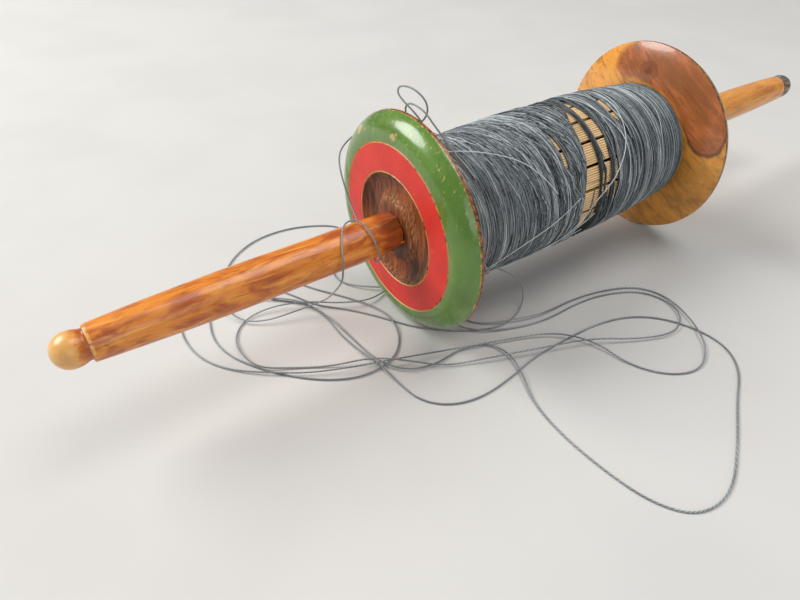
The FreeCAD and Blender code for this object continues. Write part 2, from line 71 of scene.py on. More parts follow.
# One end leaves the winding beside the front disc, lies in loops on the surface, lies over the front handle and
# goes once round it and over the rim of the front disc, and its end lies on the winding. In metres, with x
# counted from the middle of the drum.
THREAD_ROUTE = [
    (-0.0500, -0.0275, 0.0293), (-0.0440, -0.0310, 0.0260), (-0.0355, -0.0310, 0.0170), (-0.0320, -0.0310, 0.0090),
    (-0.0330, -0.0330, 0.0030), (-0.0410, -0.0380, 0.0009), (-0.0550, -0.0410, 0.0007), (-0.0710, -0.0350, 0.0007),
    (-0.0860, -0.0240, 0.0007), (-0.0970, -0.0120, 0.0007), (-0.1070, 0.0050, 0.0007), (-0.1180, 0.0200, 0.0007),
    (-0.1310, 0.0330, 0.0007), (-0.1380, 0.0500, 0.0007), (-0.1470, 0.0660, 0.0007), (-0.1650, 0.0730, 0.0007),
    (-0.1800, 0.0670, 0.0007), (-0.1860, 0.0540, 0.0007), (-0.1900, 0.0380, 0.0007), (-0.1880, 0.0220, 0.0007),
    (-0.1800, 0.0060, 0.0007), (-0.1690, -0.0090, 0.0007), (-0.1540, -0.0230, 0.0007), (-0.1370, -0.0310, 0.0007),
    (-0.1190, -0.0290, 0.0007), (-0.1070, -0.0180, 0.0007), (-0.1020, -0.0030, 0.0021), (-0.1040, 0.0110, 0.0021),
    (-0.1130, 0.0300, 0.0007), (-0.1240, 0.0460, 0.0007), (-0.1310, 0.0600, 0.0007), (-0.1410, 0.0680, 0.0020),
    (-0.1510, 0.0630, 0.0020), (-0.1500, 0.0520, 0.0007), (-0.1410, 0.0440, 0.0007), (-0.1340, 0.0360, 0.0007),
    (-0.1310, 0.0220, 0.0007), (-0.1320, 0.0020, 0.0007), (-0.1300, -0.0180, 0.0020), (-0.1270, -0.0320, 0.0020),
    (-0.1260, -0.0450, 0.0007), (-0.1240, -0.0600, 0.0007), (-0.1130, -0.0710, 0.0007), (-0.0960, -0.0750, 0.0007),
    (-0.0730, -0.0720, 0.0007), (-0.0600, -0.0690, 0.0007), (-0.0380, -0.0680, 0.0007), (-0.0080, -0.0690, 0.0007),
    (0.0140, -0.0770, 0.0007), (0.0280, -0.0940, 0.0007), (0.0330, -0.1170, 0.0007), (0.0230, -0.1340, 0.0007),
    (0.0020, -0.1460, 0.0007), (-0.0200, -0.1610, 0.0007), (-0.0460, -0.1760, 0.0007), (-0.0670, -0.1750, 0.0007),
    (-0.0780, -0.1600, 0.0007), (-0.0820, -0.1380, 0.0007), (-0.0830, -0.1130, 0.0007), (-0.0800, -0.0910, 0.0007),
    (-0.0720, -0.0750, 0.0020), (-0.0670, -0.0600, 0.0020), (-0.0710, -0.0460, 0.0007), (-0.0860, -0.0420, 0.0007),
    (-0.1040, -0.0440, 0.0007), (-0.1190, -0.0400, 0.0020), (-0.1270, -0.0260, 0.0020), (-0.1280, -0.0060, 0.0007),
    (-0.1300, 0.0180, 0.0020), (-0.1360, 0.0380, 0.0030), (-0.1500, 0.0530, 0.0017), (-0.1680, 0.0620, 0.0020),
    (-0.1870, 0.0680, 0.0020), (-0.2000, 0.0620, 0.0007), (-0.2030, 0.0460, 0.0007), (-0.2010, 0.0280, 0.0007),
    (-0.1920, 0.0120, 0.0007), (-0.1770, -0.0020, 0.0020), (-0.1600, -0.0140, 0.0020), (-0.1400, -0.0240, 0.0033),
    (-0.1200, -0.0310, 0.0033), (-0.1030, -0.0360, 0.0020), (-0.0840, -0.0440, 0.0028), (-0.0580, -0.0520, 0.0015),
    (-0.0360, -0.0620, 0.0024), (-0.0240, -0.0800, 0.0024), (-0.0220, -0.0990, 0.0007), (-0.0120, -0.1160, 0.0007),
    (0.0050, -0.1240, 0.0007), (0.0220, -0.1150, 0.0020), (0.0340, -0.0960, 0.0020), (0.0410, -0.0750, 0.0007),
    (0.0340, -0.0590, 0.0007), (0.0140, -0.0500, 0.0007), (-0.0080, -0.0460, 0.0007), (-0.0310, -0.0470, 0.0021),
    (-0.0520, -0.0400, 0.0021), (-0.0660, -0.0320, 0.0007), (-0.0720, -0.0170, 0.0007), (-0.0710, 0.0000, 0.0007),
    (-0.0770, 0.0150, 0.0007), (-0.0900, 0.0220, 0.0007), (-0.1040, 0.0170, 0.0028), (-0.1200, 0.0230, 0.0039),
    (-0.1340, 0.0340, 0.0042), (-0.1510, 0.0430, 0.0031), (-0.1680, 0.0450, 0.0007), (-0.1790, 0.0350, 0.0007),
    (-0.1830, 0.0200, 0.0021), (-0.1800, 0.0040, 0.0021), (-0.1660, -0.0040, 0.0007), (-0.1480, -0.0150, 0.0007),
    (-0.1300, -0.0240, 0.0045), (-0.1160, -0.0360, 0.0045), (-0.1000, -0.0480, 0.0007), (-0.0780, -0.0580, 0.0032),
    (-0.0520, -0.0680, 0.0038), (-0.0260, -0.0770, 0.0038), (-0.0030, -0.0910, 0.0018), (0.0170, -0.0990, 0.0020),
    (0.0320, -0.0920, 0.0020), (0.0380, -0.0770, 0.0007), (0.0310, -0.0620, 0.0007), (0.0120, -0.0530, 0.0007),
    (-0.0080, -0.0500, 0.0007), (-0.0320, -0.0510, 0.0007), (-0.0540, -0.0450, 0.0007), (-0.0720, -0.0360, 0.0020),
    (-0.0800, -0.0200, 0.0020), (-0.0790, 0.0000, 0.0007), (-0.0860, 0.0200, 0.0022), (-0.1000, 0.0300, 0.0022),
    (-0.1080, 0.0420, 0.0007), (-0.1080, 0.0540, 0.0007), (-0.0990, 0.0660, 0.0007), (-0.0860, 0.0750, 0.0007),
    (-0.0770, 0.0850, 0.0007), (-0.0780, 0.0970, 0.0007), (-0.0880, 0.1060, 0.0007), (-0.1060, 0.1140, 0.0007),
    (-0.1280, 0.1150, 0.0007), (-0.1480, 0.1060, 0.0007), (-0.1620, 0.0910, 0.0007), (-0.1720, 0.0740, 0.0007),
    (-0.1760, 0.0560, 0.0055), (-0.1720, 0.0420, 0.0021), (-0.1610, 0.0340, 0.0026), (-0.1460, 0.0300, 0.0049),
    (-0.1340, 0.0270, 0.0070), (-0.1305, 0.0170, 0.0160), (-0.1315, 0.0050, 0.0300), (-0.1340, -0.0050, 0.0410),
    (-0.1360, -0.0115, 0.0490), (-0.1360, -0.0128, 0.0570), (-0.1340, -0.0094, 0.0652), (-0.1295, -0.0020, 0.0698),
    (-0.1240, 0.0036, 0.0690), (-0.1190, 0.0020, 0.0698), (-0.1175, -0.0074, 0.0675), (-0.1165, -0.0126, 0.0600),
    (-0.1155, -0.0128, 0.0535), (-0.1135, -0.0060, 0.0455), (-0.1090, 0.0060, 0.0435), (-0.1055, 0.0170, 0.0450),
    (-0.1035, 0.0280, 0.0495), (-0.1020, 0.0380, 0.0560), (-0.1010, 0.0460, 0.0650), (-0.0990, 0.0530, 0.0715),
    (-0.0960, 0.0565, 0.0770), (-0.0910, 0.0550, 0.0830), (-0.0860, 0.0505, 0.0880), (-0.0810, 0.0430, 0.0900),
    (-0.0770, 0.0330, 0.0940), (-0.0755, 0.0210, 0.0990), (-0.0760, 0.0120, 0.1035), (-0.0780, 0.0055, 0.1080),
    (-0.0795, 0.0000, 0.1140), (-0.0820, -0.0022, 0.1205), (-0.0850, 0.0005, 0.1250), (-0.0870, 0.0050, 0.1265),
    (-0.0885, 0.0105, 0.1255), (-0.0885, 0.0120, 0.1215), (-0.0870, 0.0080, 0.1180), (-0.0850, 0.0044, 0.1150),
    (-0.0820, 0.0015, 0.1100), (-0.0800, 0.0005, 0.1050), (-0.0775, 0.0040, 0.1010), (-0.0775, 0.0110, 0.1010),
    (-0.0795, 0.0155, 0.1050), (-0.0820, 0.0150, 0.1105), (-0.0832, 0.0120, 0.1153), (-0.0835, 0.0065, 0.1173),
    (-0.0825, -0.0015, 0.1160), (-0.0800, -0.0050, 0.1105), (-0.0765, -0.0070, 0.1050), (-0.0735, -0.0100, 0.0995),
    (-0.0715, -0.0145, 0.0950), (-0.0700, -0.0190, 0.0918), (-0.0690, -0.0245, 0.0880),
]


# ------------------------------------------------------------------ settings
def colour(name, value, description):
    return FloatVectorProperty(name=name, description=description, subtype="COLOR", size=3, min=0, max=1,
                               default=value)


def length(name, value, description):
    return FloatProperty(name=name, description=description, default=value, unit="LENGTH", precision=5)


class DiscSettings(bpy.types.PropertyGroup):
    rim_land: length("Rim land", 1.6 * MM, "Bare turned edge behind the painted crown")
    crown_width: length("Crown width", 13.3 * MM, "Painted quarter-round, along the radius")
    crown_height: length("Crown height", 8.5 * MM, "How far the crown stands out from the rim plane")
    crown_radius: length("Crown radius", 12 * MM, "Rounding of the crown")
    face_height: length("Face height", 9.2 * MM, "Face at the hub, above the rim plane")
    hub_radius: length("Hub radius", 30 * MM, "Line between the flat ring and the bare hub")
    scribe_width: length("Scribe width", 0.9 * MM, "Scribed line at each edge of the flat ring")
    scribe_depth: length("Scribe depth", 0.5 * MM, "Depth of a scribed line")
    cove_radius: length("Cove radius", 10.5 * MM, "Hollow turned round the boss")
    boss_radius: length("Boss radius", 15 * MM, "Raised boss round the axle")
    dome_height: length("Dome height", 7.7 * MM, "Inner face at the drum, inside the rim plane")
    dome_swell: length("Dome swell", 1.1 * MM, "How far the inner face swells above its chord")
    dome_start: length("Dome start", 35.5 * MM, "Radius where the inner face begins to fall away")
    bore_radius: length("Bore radius", 6.05 * MM, "Hole for the axle")
    green: colour("Green paint", (0.088, 0.188, 0.022), "Paint of the crown")
    green_light: colour("Green paint, worn", (0.185, 0.300, 0.062), "Paint of the crown where it is thin")
    red: colour("Red paint", (0.720, 0.030, 0.018), "Paint of the flat ring")
    gold: colour("Gold line", (0.720, 0.400, 0.130), "Bare wood showing in the scribed lines and chips")
    # The dark colour is that of the darker patches in the scribed lines.
    dark: colour("Dark line", (0.060, 0.025, 0.012), "Dirt in the scribed lines")
    hub: colour("Hub wood", (0.215, 0.056, 0.014), "Bare stained wood of the hub")
    varnish: colour("Varnished wood", (0.860, 0.360, 0.050), "Inner face of a disc")
    heartwood: colour("Heartwood", (0.250, 0.062, 0.022), "Dark figure in the rear disc's inner face")


class HandleSettings(bpy.types.PropertyGroup):
    grip_radius: length("Grip radius", 10 * MM, "Handle beside the disc")
    end_radius: length("End radius", 8.3 * MM, "Handle at its outer shoulder")
    facet_length: length("Facet length", 10 * MM, "Eight-sided stretch against the disc")
    facet_apothem: length("Facet apothem", 9.3 * MM, "Centre to flat of the eight-sided stretch")
    grip_length: length("Grip length", 45 * MM, "Cylindrical stretch")
    bow_radius: length("Bow radius", 1500 * MM, "Gentle swelling of the tapered stretch")
    shoulder_edge: length("Shoulder edge", 0.5 * MM, "Eased edge of the shoulder")
    neck_radius: length("Neck radius", 7 * MM, "Groove behind the knob")
    neck_width: length("Neck width", 1.6 * MM, "Groove behind the knob")
    knob_radius: length("Knob radius", 8 * MM, "Rounded end at its thickest")
    knob_swell: length("Knob swell", 5 * MM, "Stretch over which the knob thickens from the neck")
    knob_length: length("Knob length", 8 * MM, "Rounded end beyond its thickest place")
    light: colour("Light varnish", (0.760, 0.250, 0.020), "Varnished wood of the handles")
    bright: colour("Bright varnish", (0.860, 0.390, 0.065), "Palest figure of the handles")
    deep: colour("Deep varnish", (0.430, 0.082, 0.008), "Darker figure of the handles")
    shoulder: colour("Faceted shoulder", (0.190, 0.034, 0.009), "Stained eight-sided stretch")
    worn: colour("Worn knob", (0.760, 0.450, 0.150), "Wood where the varnish is rubbed away")


class DrumSettings(bpy.types.PropertyGroup):
    slat_count: IntProperty(name="Slats", description="Slats round the drum", default=18, min=3)
    end_radius: length("End radius", 33.6 * MM, "Outside of the slats at the discs")
    bow: length("Bow", 3.2 * MM, "How far the slats bow outwards at the middle of the drum")
    thickness: length("Thickness", 2.4 * MM, "Bamboo slat")
    gap: length("Gap", 1.3 * MM, "Between slats")
    seat: length("Seat", 3.5 * MM, "How far a slat enters a disc")
    ribs: IntProperty(name="Ribs", description="Split ribs across one slat", default=9, min=1)
    rib_height: length("Rib height", 0.30 * MM, "How far a rib stands out")
    bamboo: colour("Bamboo", (0.800, 0.560, 0.290), "Split bamboo")
    # The colour for the valleys between ribs is painted shade.
    bamboo_valley_shade: colour("Bamboo, between ribs", (0.330, 0.150, 0.050), "Shaded line between two ribs")


class ThreadSettings(bpy.types.PropertyGroup):
    diameter: length("Diameter", 0.9 * MM, "Thread")
    wound_diameter: length("Wound diameter", 0.56 * MM, "Thread where it is pulled tight on the drum")
    length_loose: length("Loose length", 3.09, "Loose thread from end to end")
    crest: length("Crest", 5 * MM, "Where the winding is thickest, from the middle of the drum")
    front_radius: length("Front radius", 37.3 * MM, "Outside of the winding at the front disc")
    rear_radius: length("Rear radius", 35.0 * MM, "Outside of the winding at the rear disc")
    slanting_count: IntProperty(name="Slanting turns", description="Slanting turns in each of two layers",
                                default=460, min=1)
    # The wound thread's grey is darker than the loose thread's: painted shade among the turns. The deep colour is
    # painted shade for strands low in the winding, and the light colour is partly paler, rubbed thread and partly a
    # painted highlight on the top strands.
    shade: colour("Thread shade", (0.140, 0.168, 0.186), "Grey-blue thread")
    light: colour("Thread light", (0.520, 0.565, 0.580), "Paler, rubbed thread")
    deep: colour("Thread deep", (0.016, 0.022, 0.028), "Thread low in the winding")
    loose_shade: colour("Loose thread", (0.285, 0.310, 0.325), "Thread lying free")


class StudioSettings(bpy.types.PropertyGroup):
    floor: colour("Floor", (0.620, 0.610, 0.590), "Plain pale floor")
    camera_place: FloatVectorProperty(name="Camera place", description="Where the camera stands",
                                      subtype="TRANSLATION", size=3, default=(-0.24575, -0.22811, 0.23451))
    camera_turn: FloatVectorProperty(name="Camera turn", description="Tilt, roll and heading of the camera",
                                     subtype="EULER", size=3,
                                     default=(math.radians(50.954), 0.0, math.radians(-34.468)))
    lens: FloatProperty(name="Lens", description="Focal length in millimetres on a 36 mm sensor", default=29.04)


# ------------------------------------------------------------------ modelling helpers
def clear_selection():
    if bpy.context.object and bpy.context.object.mode != "OBJECT":
        bpy.ops.object.mode_set(mode="OBJECT")
    bpy.ops.object.select_all(action="DESELECT")


def take(piece):
    """Makes one piece the selected and active object."""
    clear_selection()
    piece.select_set(True)
    bpy.context.view_layer.objects.active = piece


def named(name):
    """The piece that an operator has just added, under its own name."""
    piece = bpy.context.object
    piece.name = name
    piece.data.name = name
    return piece


def settle(piece):
    """Applies place, turn and size, so that the piece's place is in its mesh."""
    take(piece)
    bpy.ops.object.transform_apply(location=True, rotation=True, scale=True)


def arc(start, end, radius, steps):
    """Points from start to end, both left out, on an arc. A positive radius bulges to the left of the way."""
    start, end = Vector(start), Vector(end)
    chord = end - start
    left = Vector((-chord.y, chord.x)).normalized()
    side = math.copysign(1, radius)
    centre = (start + end) / 2 - left * side * math.sqrt(radius ** 2 - (chord.length / 2) ** 2)
    first = start - centre
    sweep = -side * 2 * math.asin(chord.length / 2 / abs(radius))
    points = []
    for step in range(1, steps):
        turn = sweep * step / steps
        points.append(centre + Matrix.Rotation(turn, 2) @ first)
    return [tuple(point) for point in points]


def swell_radius(start, end, swell):
    """Radius of the arc from start to end that stands swell above its chord."""
    chord = (Vector(end) - Vector(start)).length
    return (chord ** 2 / 4 + swell ** 2) / 2 / swell


def turn_outline(name, points, steps, open_at_axis=False):
    """Spins a half outline of (x, radius) points round the axle's line."""
    clear_selection()
    bpy.ops.mesh.primitive_circle_add(vertices=len(points), radius=RIM_RADIUS, location=(0, 0, 0))
    piece = named(name)
    for vertex, (x, radius) in zip(piece.data.vertices, points):
        vertex.co = (MIDDLE + x, 0, AXIS + radius)
    bpy.ops.object.mode_set(mode="EDIT")
    if open_at_axis:
        bpy.ops.mesh.select_mode(type="EDGE")
        bpy.ops.mesh.select_all(action="DESELECT")
        bpy.ops.object.mode_set(mode="OBJECT")
        for edge in piece.data.edges:
            ends = [piece.data.vertices[i].co.z - AXIS for i in edge.vertices]
            edge.select = max(ends) < 1e-7
        bpy.ops.object.mode_set(mode="EDIT")
        bpy.ops.mesh.delete(type="EDGE")
        bpy.ops.mesh.select_mode(type="VERT")
    bpy.ops.mesh.select_all(action="SELECT")
    bpy.ops.mesh.spin(steps=steps, angle=2 * math.pi, center=(0, 0, AXIS), axis=(1, 0, 0))
    bpy.ops.mesh.select_all(action="SELECT")
    bpy.ops.mesh.remove_doubles(threshold=0.000002)
    bpy.ops.mesh.normals_make_consistent(inside=False)
    bpy.ops.object.mode_set(mode="OBJECT")
    return piece


def smooth(piece, degrees=32):
    take(piece)
    bpy.ops.object.shade_smooth_by_angle(angle=math.radians(degrees))


def paint_faces(piece, materials, choose):
    """Gives each face the material that choose names for its centre."""
    names = list(materials)
    piece.data.materials.clear()
    for name in names:
        piece.data.materials.append(materials[name])
    for face in piece.data.polygons:
        face.material_index = names.index(choose(face.center))


def join(name, pieces):
    take(pieces[0])
    for piece in pieces[1:]:
        piece.select_set(True)
    bpy.ops.object.join()
    return named(name)


def turned_copy(piece, name, angle):
    """A copy with its own mesh, turned about the axle's line."""
    take(piece)
    bpy.ops.object.duplicate(linked=False)
    copy = named(name)
    about = Matrix.Translation((0, 0, AXIS)) @ Matrix.Rotation(angle, 4, "X") @ Matrix.Translation((0, 0, -AXIS))
    copy.matrix_world = about
    settle(copy)
    return copy


# ------------------------------------------------------------------ material helpers
class Finish:
    """A procedural material and short ways to add its nodes."""

    def __init__(self, name, roughness=0.5, coat=0.0, coat_roughness=0.1, specular=0.5, sheen=0.0):
        self.material = bpy.data.materials.new(name)
        self.material.use_nodes = True
        self.tree = self.material.node_tree
        self.shader = self.tree.nodes["Principled BSDF"]
        self.shader.inputs["Roughness"].default_value = roughness
        self.shader.inputs["Coat Weight"].default_value = coat
        self.shader.inputs["Coat Roughness"].default_value = coat_roughness
        self.shader.inputs["Specular IOR Level"].default_value = specular
        self.shader.inputs["Sheen Weight"].default_value = sheen
        place = self.add("ShaderNodeTexCoord").outputs["Object"]
        centred = self.add("ShaderNodeMapping")
        centred.inputs["Location"].default_value = (-MIDDLE, 0, -AXIS)
        self.link(place, centred.inputs["Vector"])
        self.place = centred.outputs["Vector"]

    def add(self, kind):
        return self.tree.nodes.new(kind)

    def link(self, source, target):
        if isinstance(source, bpy.types.NodeSocket):
            self.tree.links.new(source, target)
        elif isinstance(source, (int, float)):
            target.default_value = source
        else:
            target.default_value = (*source, 1.0) if target.type == "RGBA" else tuple(source)

    def stretch(self, x=1.0, y=1.0, z=1.0, source=None):
        node = self.add("ShaderNodeMapping")
        node.inputs["Scale"].default_value = (x, y, z)
        self.link(source or self.place, node.inputs["Vector"])
        return node.outputs["Vector"]

    def noise(self, scale, detail=3.0, vector=None, distortion=0.0, roughness=0.5):
        node = self.add("ShaderNodeTexNoise")
        node.inputs["Scale"].default_value = scale
        node.inputs["Detail"].default_value = detail
        node.inputs["Roughness"].default_value = roughness
        node.inputs["Distortion"].default_value = distortion
        self.link(vector or self.place, node.inputs["Vector"])
        return node.outputs["Fac"]

    def sum(self, operation, first, second=0.0, clamp=False):
        node = self.add("ShaderNodeMath")
        node.operation = operation
        node.use_clamp = clamp
        self.link(first, node.inputs[0])
        self.link(second, node.inputs[1])
        return node.outputs[0]

    def fade(self, value, low, high):
        """0 below low, 1 above high."""
        node = self.add("ShaderNodeMapRange")
        node.interpolation_type = "SMOOTHSTEP"
        self.link(value, node.inputs["Value"])
        node.inputs["From Min"].default_value = low
        node.inputs["From Max"].default_value = high
        return node.outputs["Result"]

    def mix(self, amount, first, second):
        node = self.add("ShaderNodeMix")
        node.data_type = "RGBA"
        self.link(amount, node.inputs[0])
        self.link(first, node.inputs[6])
        self.link(second, node.inputs[7])
        return node.outputs[2]

    def part(self, axis, source=None):
        node = self.add("ShaderNodeSeparateXYZ")
        self.link(source or self.place, node.inputs[0])
        return node.outputs[axis]

    def radius(self):
        """Distance from the axle's line."""
        y, z = self.part("Y"), self.part("Z")
        square = self.sum("ADD", self.sum("MULTIPLY", y, y), self.sum("MULTIPLY", z, z))
        return self.sum("SQRT", square)

    def near(self, point, reach, ragged=0.0, scale=400.0):
        """1 within reach of a point, with a ragged edge."""
        node = self.add("ShaderNodeVectorMath")
        node.operation = "DISTANCE"
        self.link(self.place, node.inputs[0])
        node.inputs[1].default_value = point
        away = self.sum("ADD", node.outputs["Value"],
                        self.sum("MULTIPLY", self.sum("SUBTRACT", self.noise(scale), 0.5), ragged))
        return self.sum("SUBTRACT", 1.0, self.fade(away, reach * 0.85, reach))

    def bump(self, height, strength, distance):
        node = self.add("ShaderNodeBump")
        node.inputs["Strength"].default_value = strength
        node.inputs["Distance"].default_value = distance
        self.link(height, node.inputs["Height"])
        previous = self.shader.inputs["Normal"].links
        if previous:
            self.link(previous[0].from_socket, node.inputs["Normal"])
        self.link(node.outputs["Normal"], self.shader.inputs["Normal"])

    def colour(self, socket):
        self.link(socket, self.shader.inputs["Base Color"])

    def rough(self, socket, low, high):
        node = self.add("ShaderNodeMapRange")
        self.link(socket, node.inputs["Value"])
        node.inputs["To Min"].default_value = low
        node.inputs["To Max"].default_value = high
        self.link(node.outputs["Result"], self.shader.inputs["Roughness"])


def tint(shade, factor):
    return tuple(min(1.0, value * factor) for value in shade)


def bamboo_finish():
    s = bpy.context.scene.drum
    f = Finish("bamboo_split", roughness=0.55, specular=0.35)
    fine = f.noise(900, 4, f.stretch(0.06, 1, 1))
    broad = f.noise(70, 2, f.stretch(0.3, 1, 1))
    shade = f.mix(f.fade(broad, 0.38, 0.62), s.bamboo, tint(s.bamboo, 1.12))
    shade = f.mix(f.fade(fine, 0.52, 0.72), shade, tint(s.bamboo, 0.62))
    # Painted shade in the valley between two ribs, carried by a point attribute of the slat.
    low = f.add("ShaderNodeAttribute")
    low.attribute_name = "valley"
    f.colour(f.mix(low.outputs["Fac"], shade, s.bamboo_valley_shade))
    f.bump(fine, 0.5, 0.0002)
    return f.material


def thread_finish(name, depth_shade=0.0):
    """The wound thread. Each strand has a tone of its own, from painted shade through the thread's grey to a
    painted highlight, and the lower turns get painted shade by how deep their layer lies.
    """
    s = bpy.context.scene.thread
    f = Finish(name, roughness=0.5, specular=0.4, sheen=0.08)
    along = f.noise(240, 3, f.stretch(1, 0.3, 0.3))
    rub_and_glint = f.noise(1300, 2)
    lane = f.add("ShaderNodeAttribute")
    lane.attribute_name = "strand"
    amount = f.sum("ADD", f.sum("MULTIPLY", lane.outputs["Fac"], 0.66), f.sum("MULTIPLY", along, 0.42))
    # Painted shade by depth: the lower layers are dimmed, and a negative value brightens the strays as painted
    # light.
    shade_by_depth = 1 - 0.75 * depth_shade
    # A strand's tone runs from deep, painted shade, through the grey to light, a painted highlight.
    shade = f.mix(f.fade(amount, 0.20, 0.50), tint(s.deep, shade_by_depth), tint(s.shade, shade_by_depth))
    shade = f.mix(f.fade(amount, 0.56, 0.95), shade, tint(s.light, shade_by_depth))
    # Pale flecks: partly rubbed thread, partly painted glints.
    f.colour(f.mix(f.sum("MULTIPLY", f.fade(rub_and_glint, 0.54, 0.72), 0.3), shade, tint(s.light, shade_by_depth)))
    f.bump(rub_and_glint, 0.3, 0.0002)
    return f.material


def loose_thread_finish(turns):
    """The loose thread, with the lines of its twist running round it: painted shade in the grooves of the twist,
    and bumps.
    """
    s = bpy.context.scene.thread
    f = Finish("thread_loose", roughness=0.5, specular=0.4, sheen=0.08)
    shade = f.mix(f.fade(f.noise(45, 3), 0.36, 0.64), tint(s.loose_shade, 0.8), tint(s.loose_shade, 1.35))
    round_it = f.add("ShaderNodeUVMap").outputs["UV"]
    across = f.sum("ADD", f.sum("MULTIPLY", f.part("X", round_it), turns), f.part("Y", round_it))
    twist = f.sum("SINE", f.sum("MULTIPLY", across, 4 * math.pi))
    # Painted shade: thin dark lines where the twist's grooves run.
    f.colour(f.mix(f.fade(twist, -0.9, 0.0), tint(s.loose_shade, 0.5), shade))
    f.bump(twist, 0.6, 0.00008)
    return f.material


def grain_along_z(f, scale, fine=1.0, lean=0.0):
    """Streaks that run up a disc, close together across it and drawn out along the grain."""
    node = f.add("ShaderNodeMapping")
    node.inputs["Scale"].default_value = (1.0, 1.0, 0.085 * fine)
    node.inputs["Rotation"].default_value = (lean, 0, 0)
    f.link(f.place, node.inputs["Vector"])
    return f.noise(scale, 4, node.outputs["Vector"], 0.6, 0.6)


def hub_finish():
    s = bpy.context.scene.disc
    f = Finish("hub_wood", roughness=0.5, specular=0.3, coat=0.06, coat_roughness=0.25)
    streak = grain_along_z(f, 420)
    fine = grain_along_z(f, 1150)
    broad = f.noise(60, 2, f.stretch(1, 1, 0.5))
    shade = f.mix(f.fade(streak, 0.38, 0.58), tint(s.hub, 0.30), s.hub)
    shade = f.mix(f.fade(streak, 0.56, 0.76), shade, tint(s.hub, 2.1))
    shade = f.mix(f.sum("MULTIPLY", f.fade(broad, 0.45, 0.65), 0.45), shade, tint(s.hub, 2.0))
    shade = f.mix(f.sum("MULTIPLY", f.fade(fine, 0.54, 0.64), 0.8), shade, tint(s.hub, 0.12))
    # Golden flecks on the upper side of the boss and on the lower side of the hub near its edge: partly burnished
    # bare wood, partly a painted highlight.
    out = f.radius()
    by_boss = f.sum("MULTIPLY", f.fade(out, s.boss_radius - 0.0035, s.boss_radius), f.fade(
        out, s.boss_radius + 0.0075, s.boss_radius + 0.0010))
    upper = f.fade(f.sum("SUBTRACT", f.part("Z"), f.sum("MULTIPLY", f.part("Y"), 0.6)), -0.012, 0.012)
    by_rim = f.sum("MULTIPLY", f.fade(out, s.hub_radius - 0.0060, s.hub_radius - 0.0015),
                   f.fade(f.part("Z"), 0.004, -0.016))
    flecks = f.fade(f.noise(1100, 4, f.stretch(1, 1, 0.10)), 0.46, 0.66)
    burnish_and_highlight = f.sum("MAXIMUM", f.sum("MULTIPLY", by_boss, upper), f.sum("MULTIPLY", by_rim, 0.85))
    f.colour(f.mix(f.sum("MULTIPLY", f.sum("MULTIPLY", burnish_and_highlight, flecks), 0.5), shade, tint(s.gold, 0.85)))
    f.bump(fine, 0.4, 0.00025)
    f.rough(fine, 0.42, 0.62)
    return f.material


def worn_edge(f, width, raggedness, away):
    """1 where the paint has gone at an edge: away is the distance from that edge."""
    ragged = f.sum("MULTIPLY", f.sum("SUBTRACT", f.noise(520, 4), 0.5), raggedness)
    return f.sum("SUBTRACT", 1.0, f.fade(f.sum("ADD", away, ragged), width * 0.6, width))


# Bare places in the green paint: a point in metres from the middle of the drum, and how far the chip reaches
CHIPS = [
    ((-0.0955, 0.0330, 0.0405), 0.0030),
    ((-0.0952, 0.0305, 0.0375), 0.0022),
    ((-0.0915, -0.0200, -0.0530), 0.0036),
    ((-0.0915, -0.0110, -0.0560), 0.0030),
    ((-0.0975, 0.0020, 0.0490), 0.0024),
]


def green_finish():
    s = bpy.context.scene.disc
    f = Finish("green_paint", roughness=0.24, specular=0.5, coat=0.5, coat_roughness=0.08)
    broad = f.noise(42, 3, None, 0.4)
    shade = f.mix(f.fade(broad, 0.40, 0.66), s.green, tint(s.green, 1.25))
    streak = f.noise(230, 3, f.stretch(1, 1, 0.35))
    shade = f.mix(f.sum("MULTIPLY", f.fade(streak, 0.52, 0.74), 0.45), shade, s.green_light)
    out = f.radius()
    # Yellowish flecks along the crest of the crown, on its upper side only: partly worn paint, partly a painted
    # highlight.
    top = f.fade(f.part("Z"), 0.006, 0.046)
    crest = f.sum("MULTIPLY", f.fade(out, RIM_RADIUS - 0.0115, RIM_RADIUS - 0.005), top)
    flecks = f.fade(f.noise(620, 4, f.stretch(1, 1, 0.55)), 0.60, 0.68)
    shade = f.mix(f.sum("MULTIPLY", f.sum("MULTIPLY", flecks, crest), 0.55), shade, (0.50, 0.45, 0.14))
    stray = f.fade(f.noise(520, 2, f.stretch(1.2, 1, 0.6)), 0.745, 0.775)
    shade = f.mix(f.sum("MULTIPLY", stray, 0.55), shade, tint(s.gold, 1.0))
    edge = worn_edge(f, 0.0001, 0.0011, f.sum("SUBTRACT", RIM_RADIUS, out))
    inner_edge = worn_edge(f, 0.00025, 0.0009, f.sum("SUBTRACT", out, RIM_RADIUS - s.crown_width))
    chips = f.sum("MAXIMUM", edge, inner_edge)
    for point, reach in CHIPS:
        chips = f.sum("MAXIMUM", chips, f.near(point, reach, 0.0075, 650))
    tan = f.mix(f.fade(f.noise(300, 2), 0.4, 0.6), tint(s.gold, 0.8), (0.48, 0.40, 0.16))
    f.colour(f.mix(f.sum("MULTIPLY", chips, 0.85), shade, tan))
    f.bump(f.noise(700, 3), 0.12, 0.0003)
    f.bump(f.sum("SUBTRACT", 1.0, chips), 0.5, 0.0002)
    f.rough(f.noise(130, 3), 0.18, 0.34)
    return f.material


def red_finish():
    s = bpy.context.scene.disc
    f = Finish("red_paint", roughness=0.48, specular=0.4, coat=0.12, coat_roughness=0.3)
    broad = f.noise(60, 3)
    shade = f.mix(f.fade(broad, 0.35, 0.7), s.red, tint(s.red, 0.84))
    pale = f.fade(f.noise(240, 3), 0.62, 0.75)
    shade = f.mix(f.sum("MULTIPLY", pale, 0.35), shade, (0.88, 0.13, 0.085))
    dots = f.fade(f.noise(900, 2), 0.72, 0.75)
    f.colour(f.mix(f.sum("MULTIPLY", dots, 0.8), shade, (0.80, 0.38, 0.20)))
    f.bump(f.noise(800, 2), 0.15, 0.0002)
    f.rough(f.noise(170, 2), 0.42, 0.58)
    return f.material


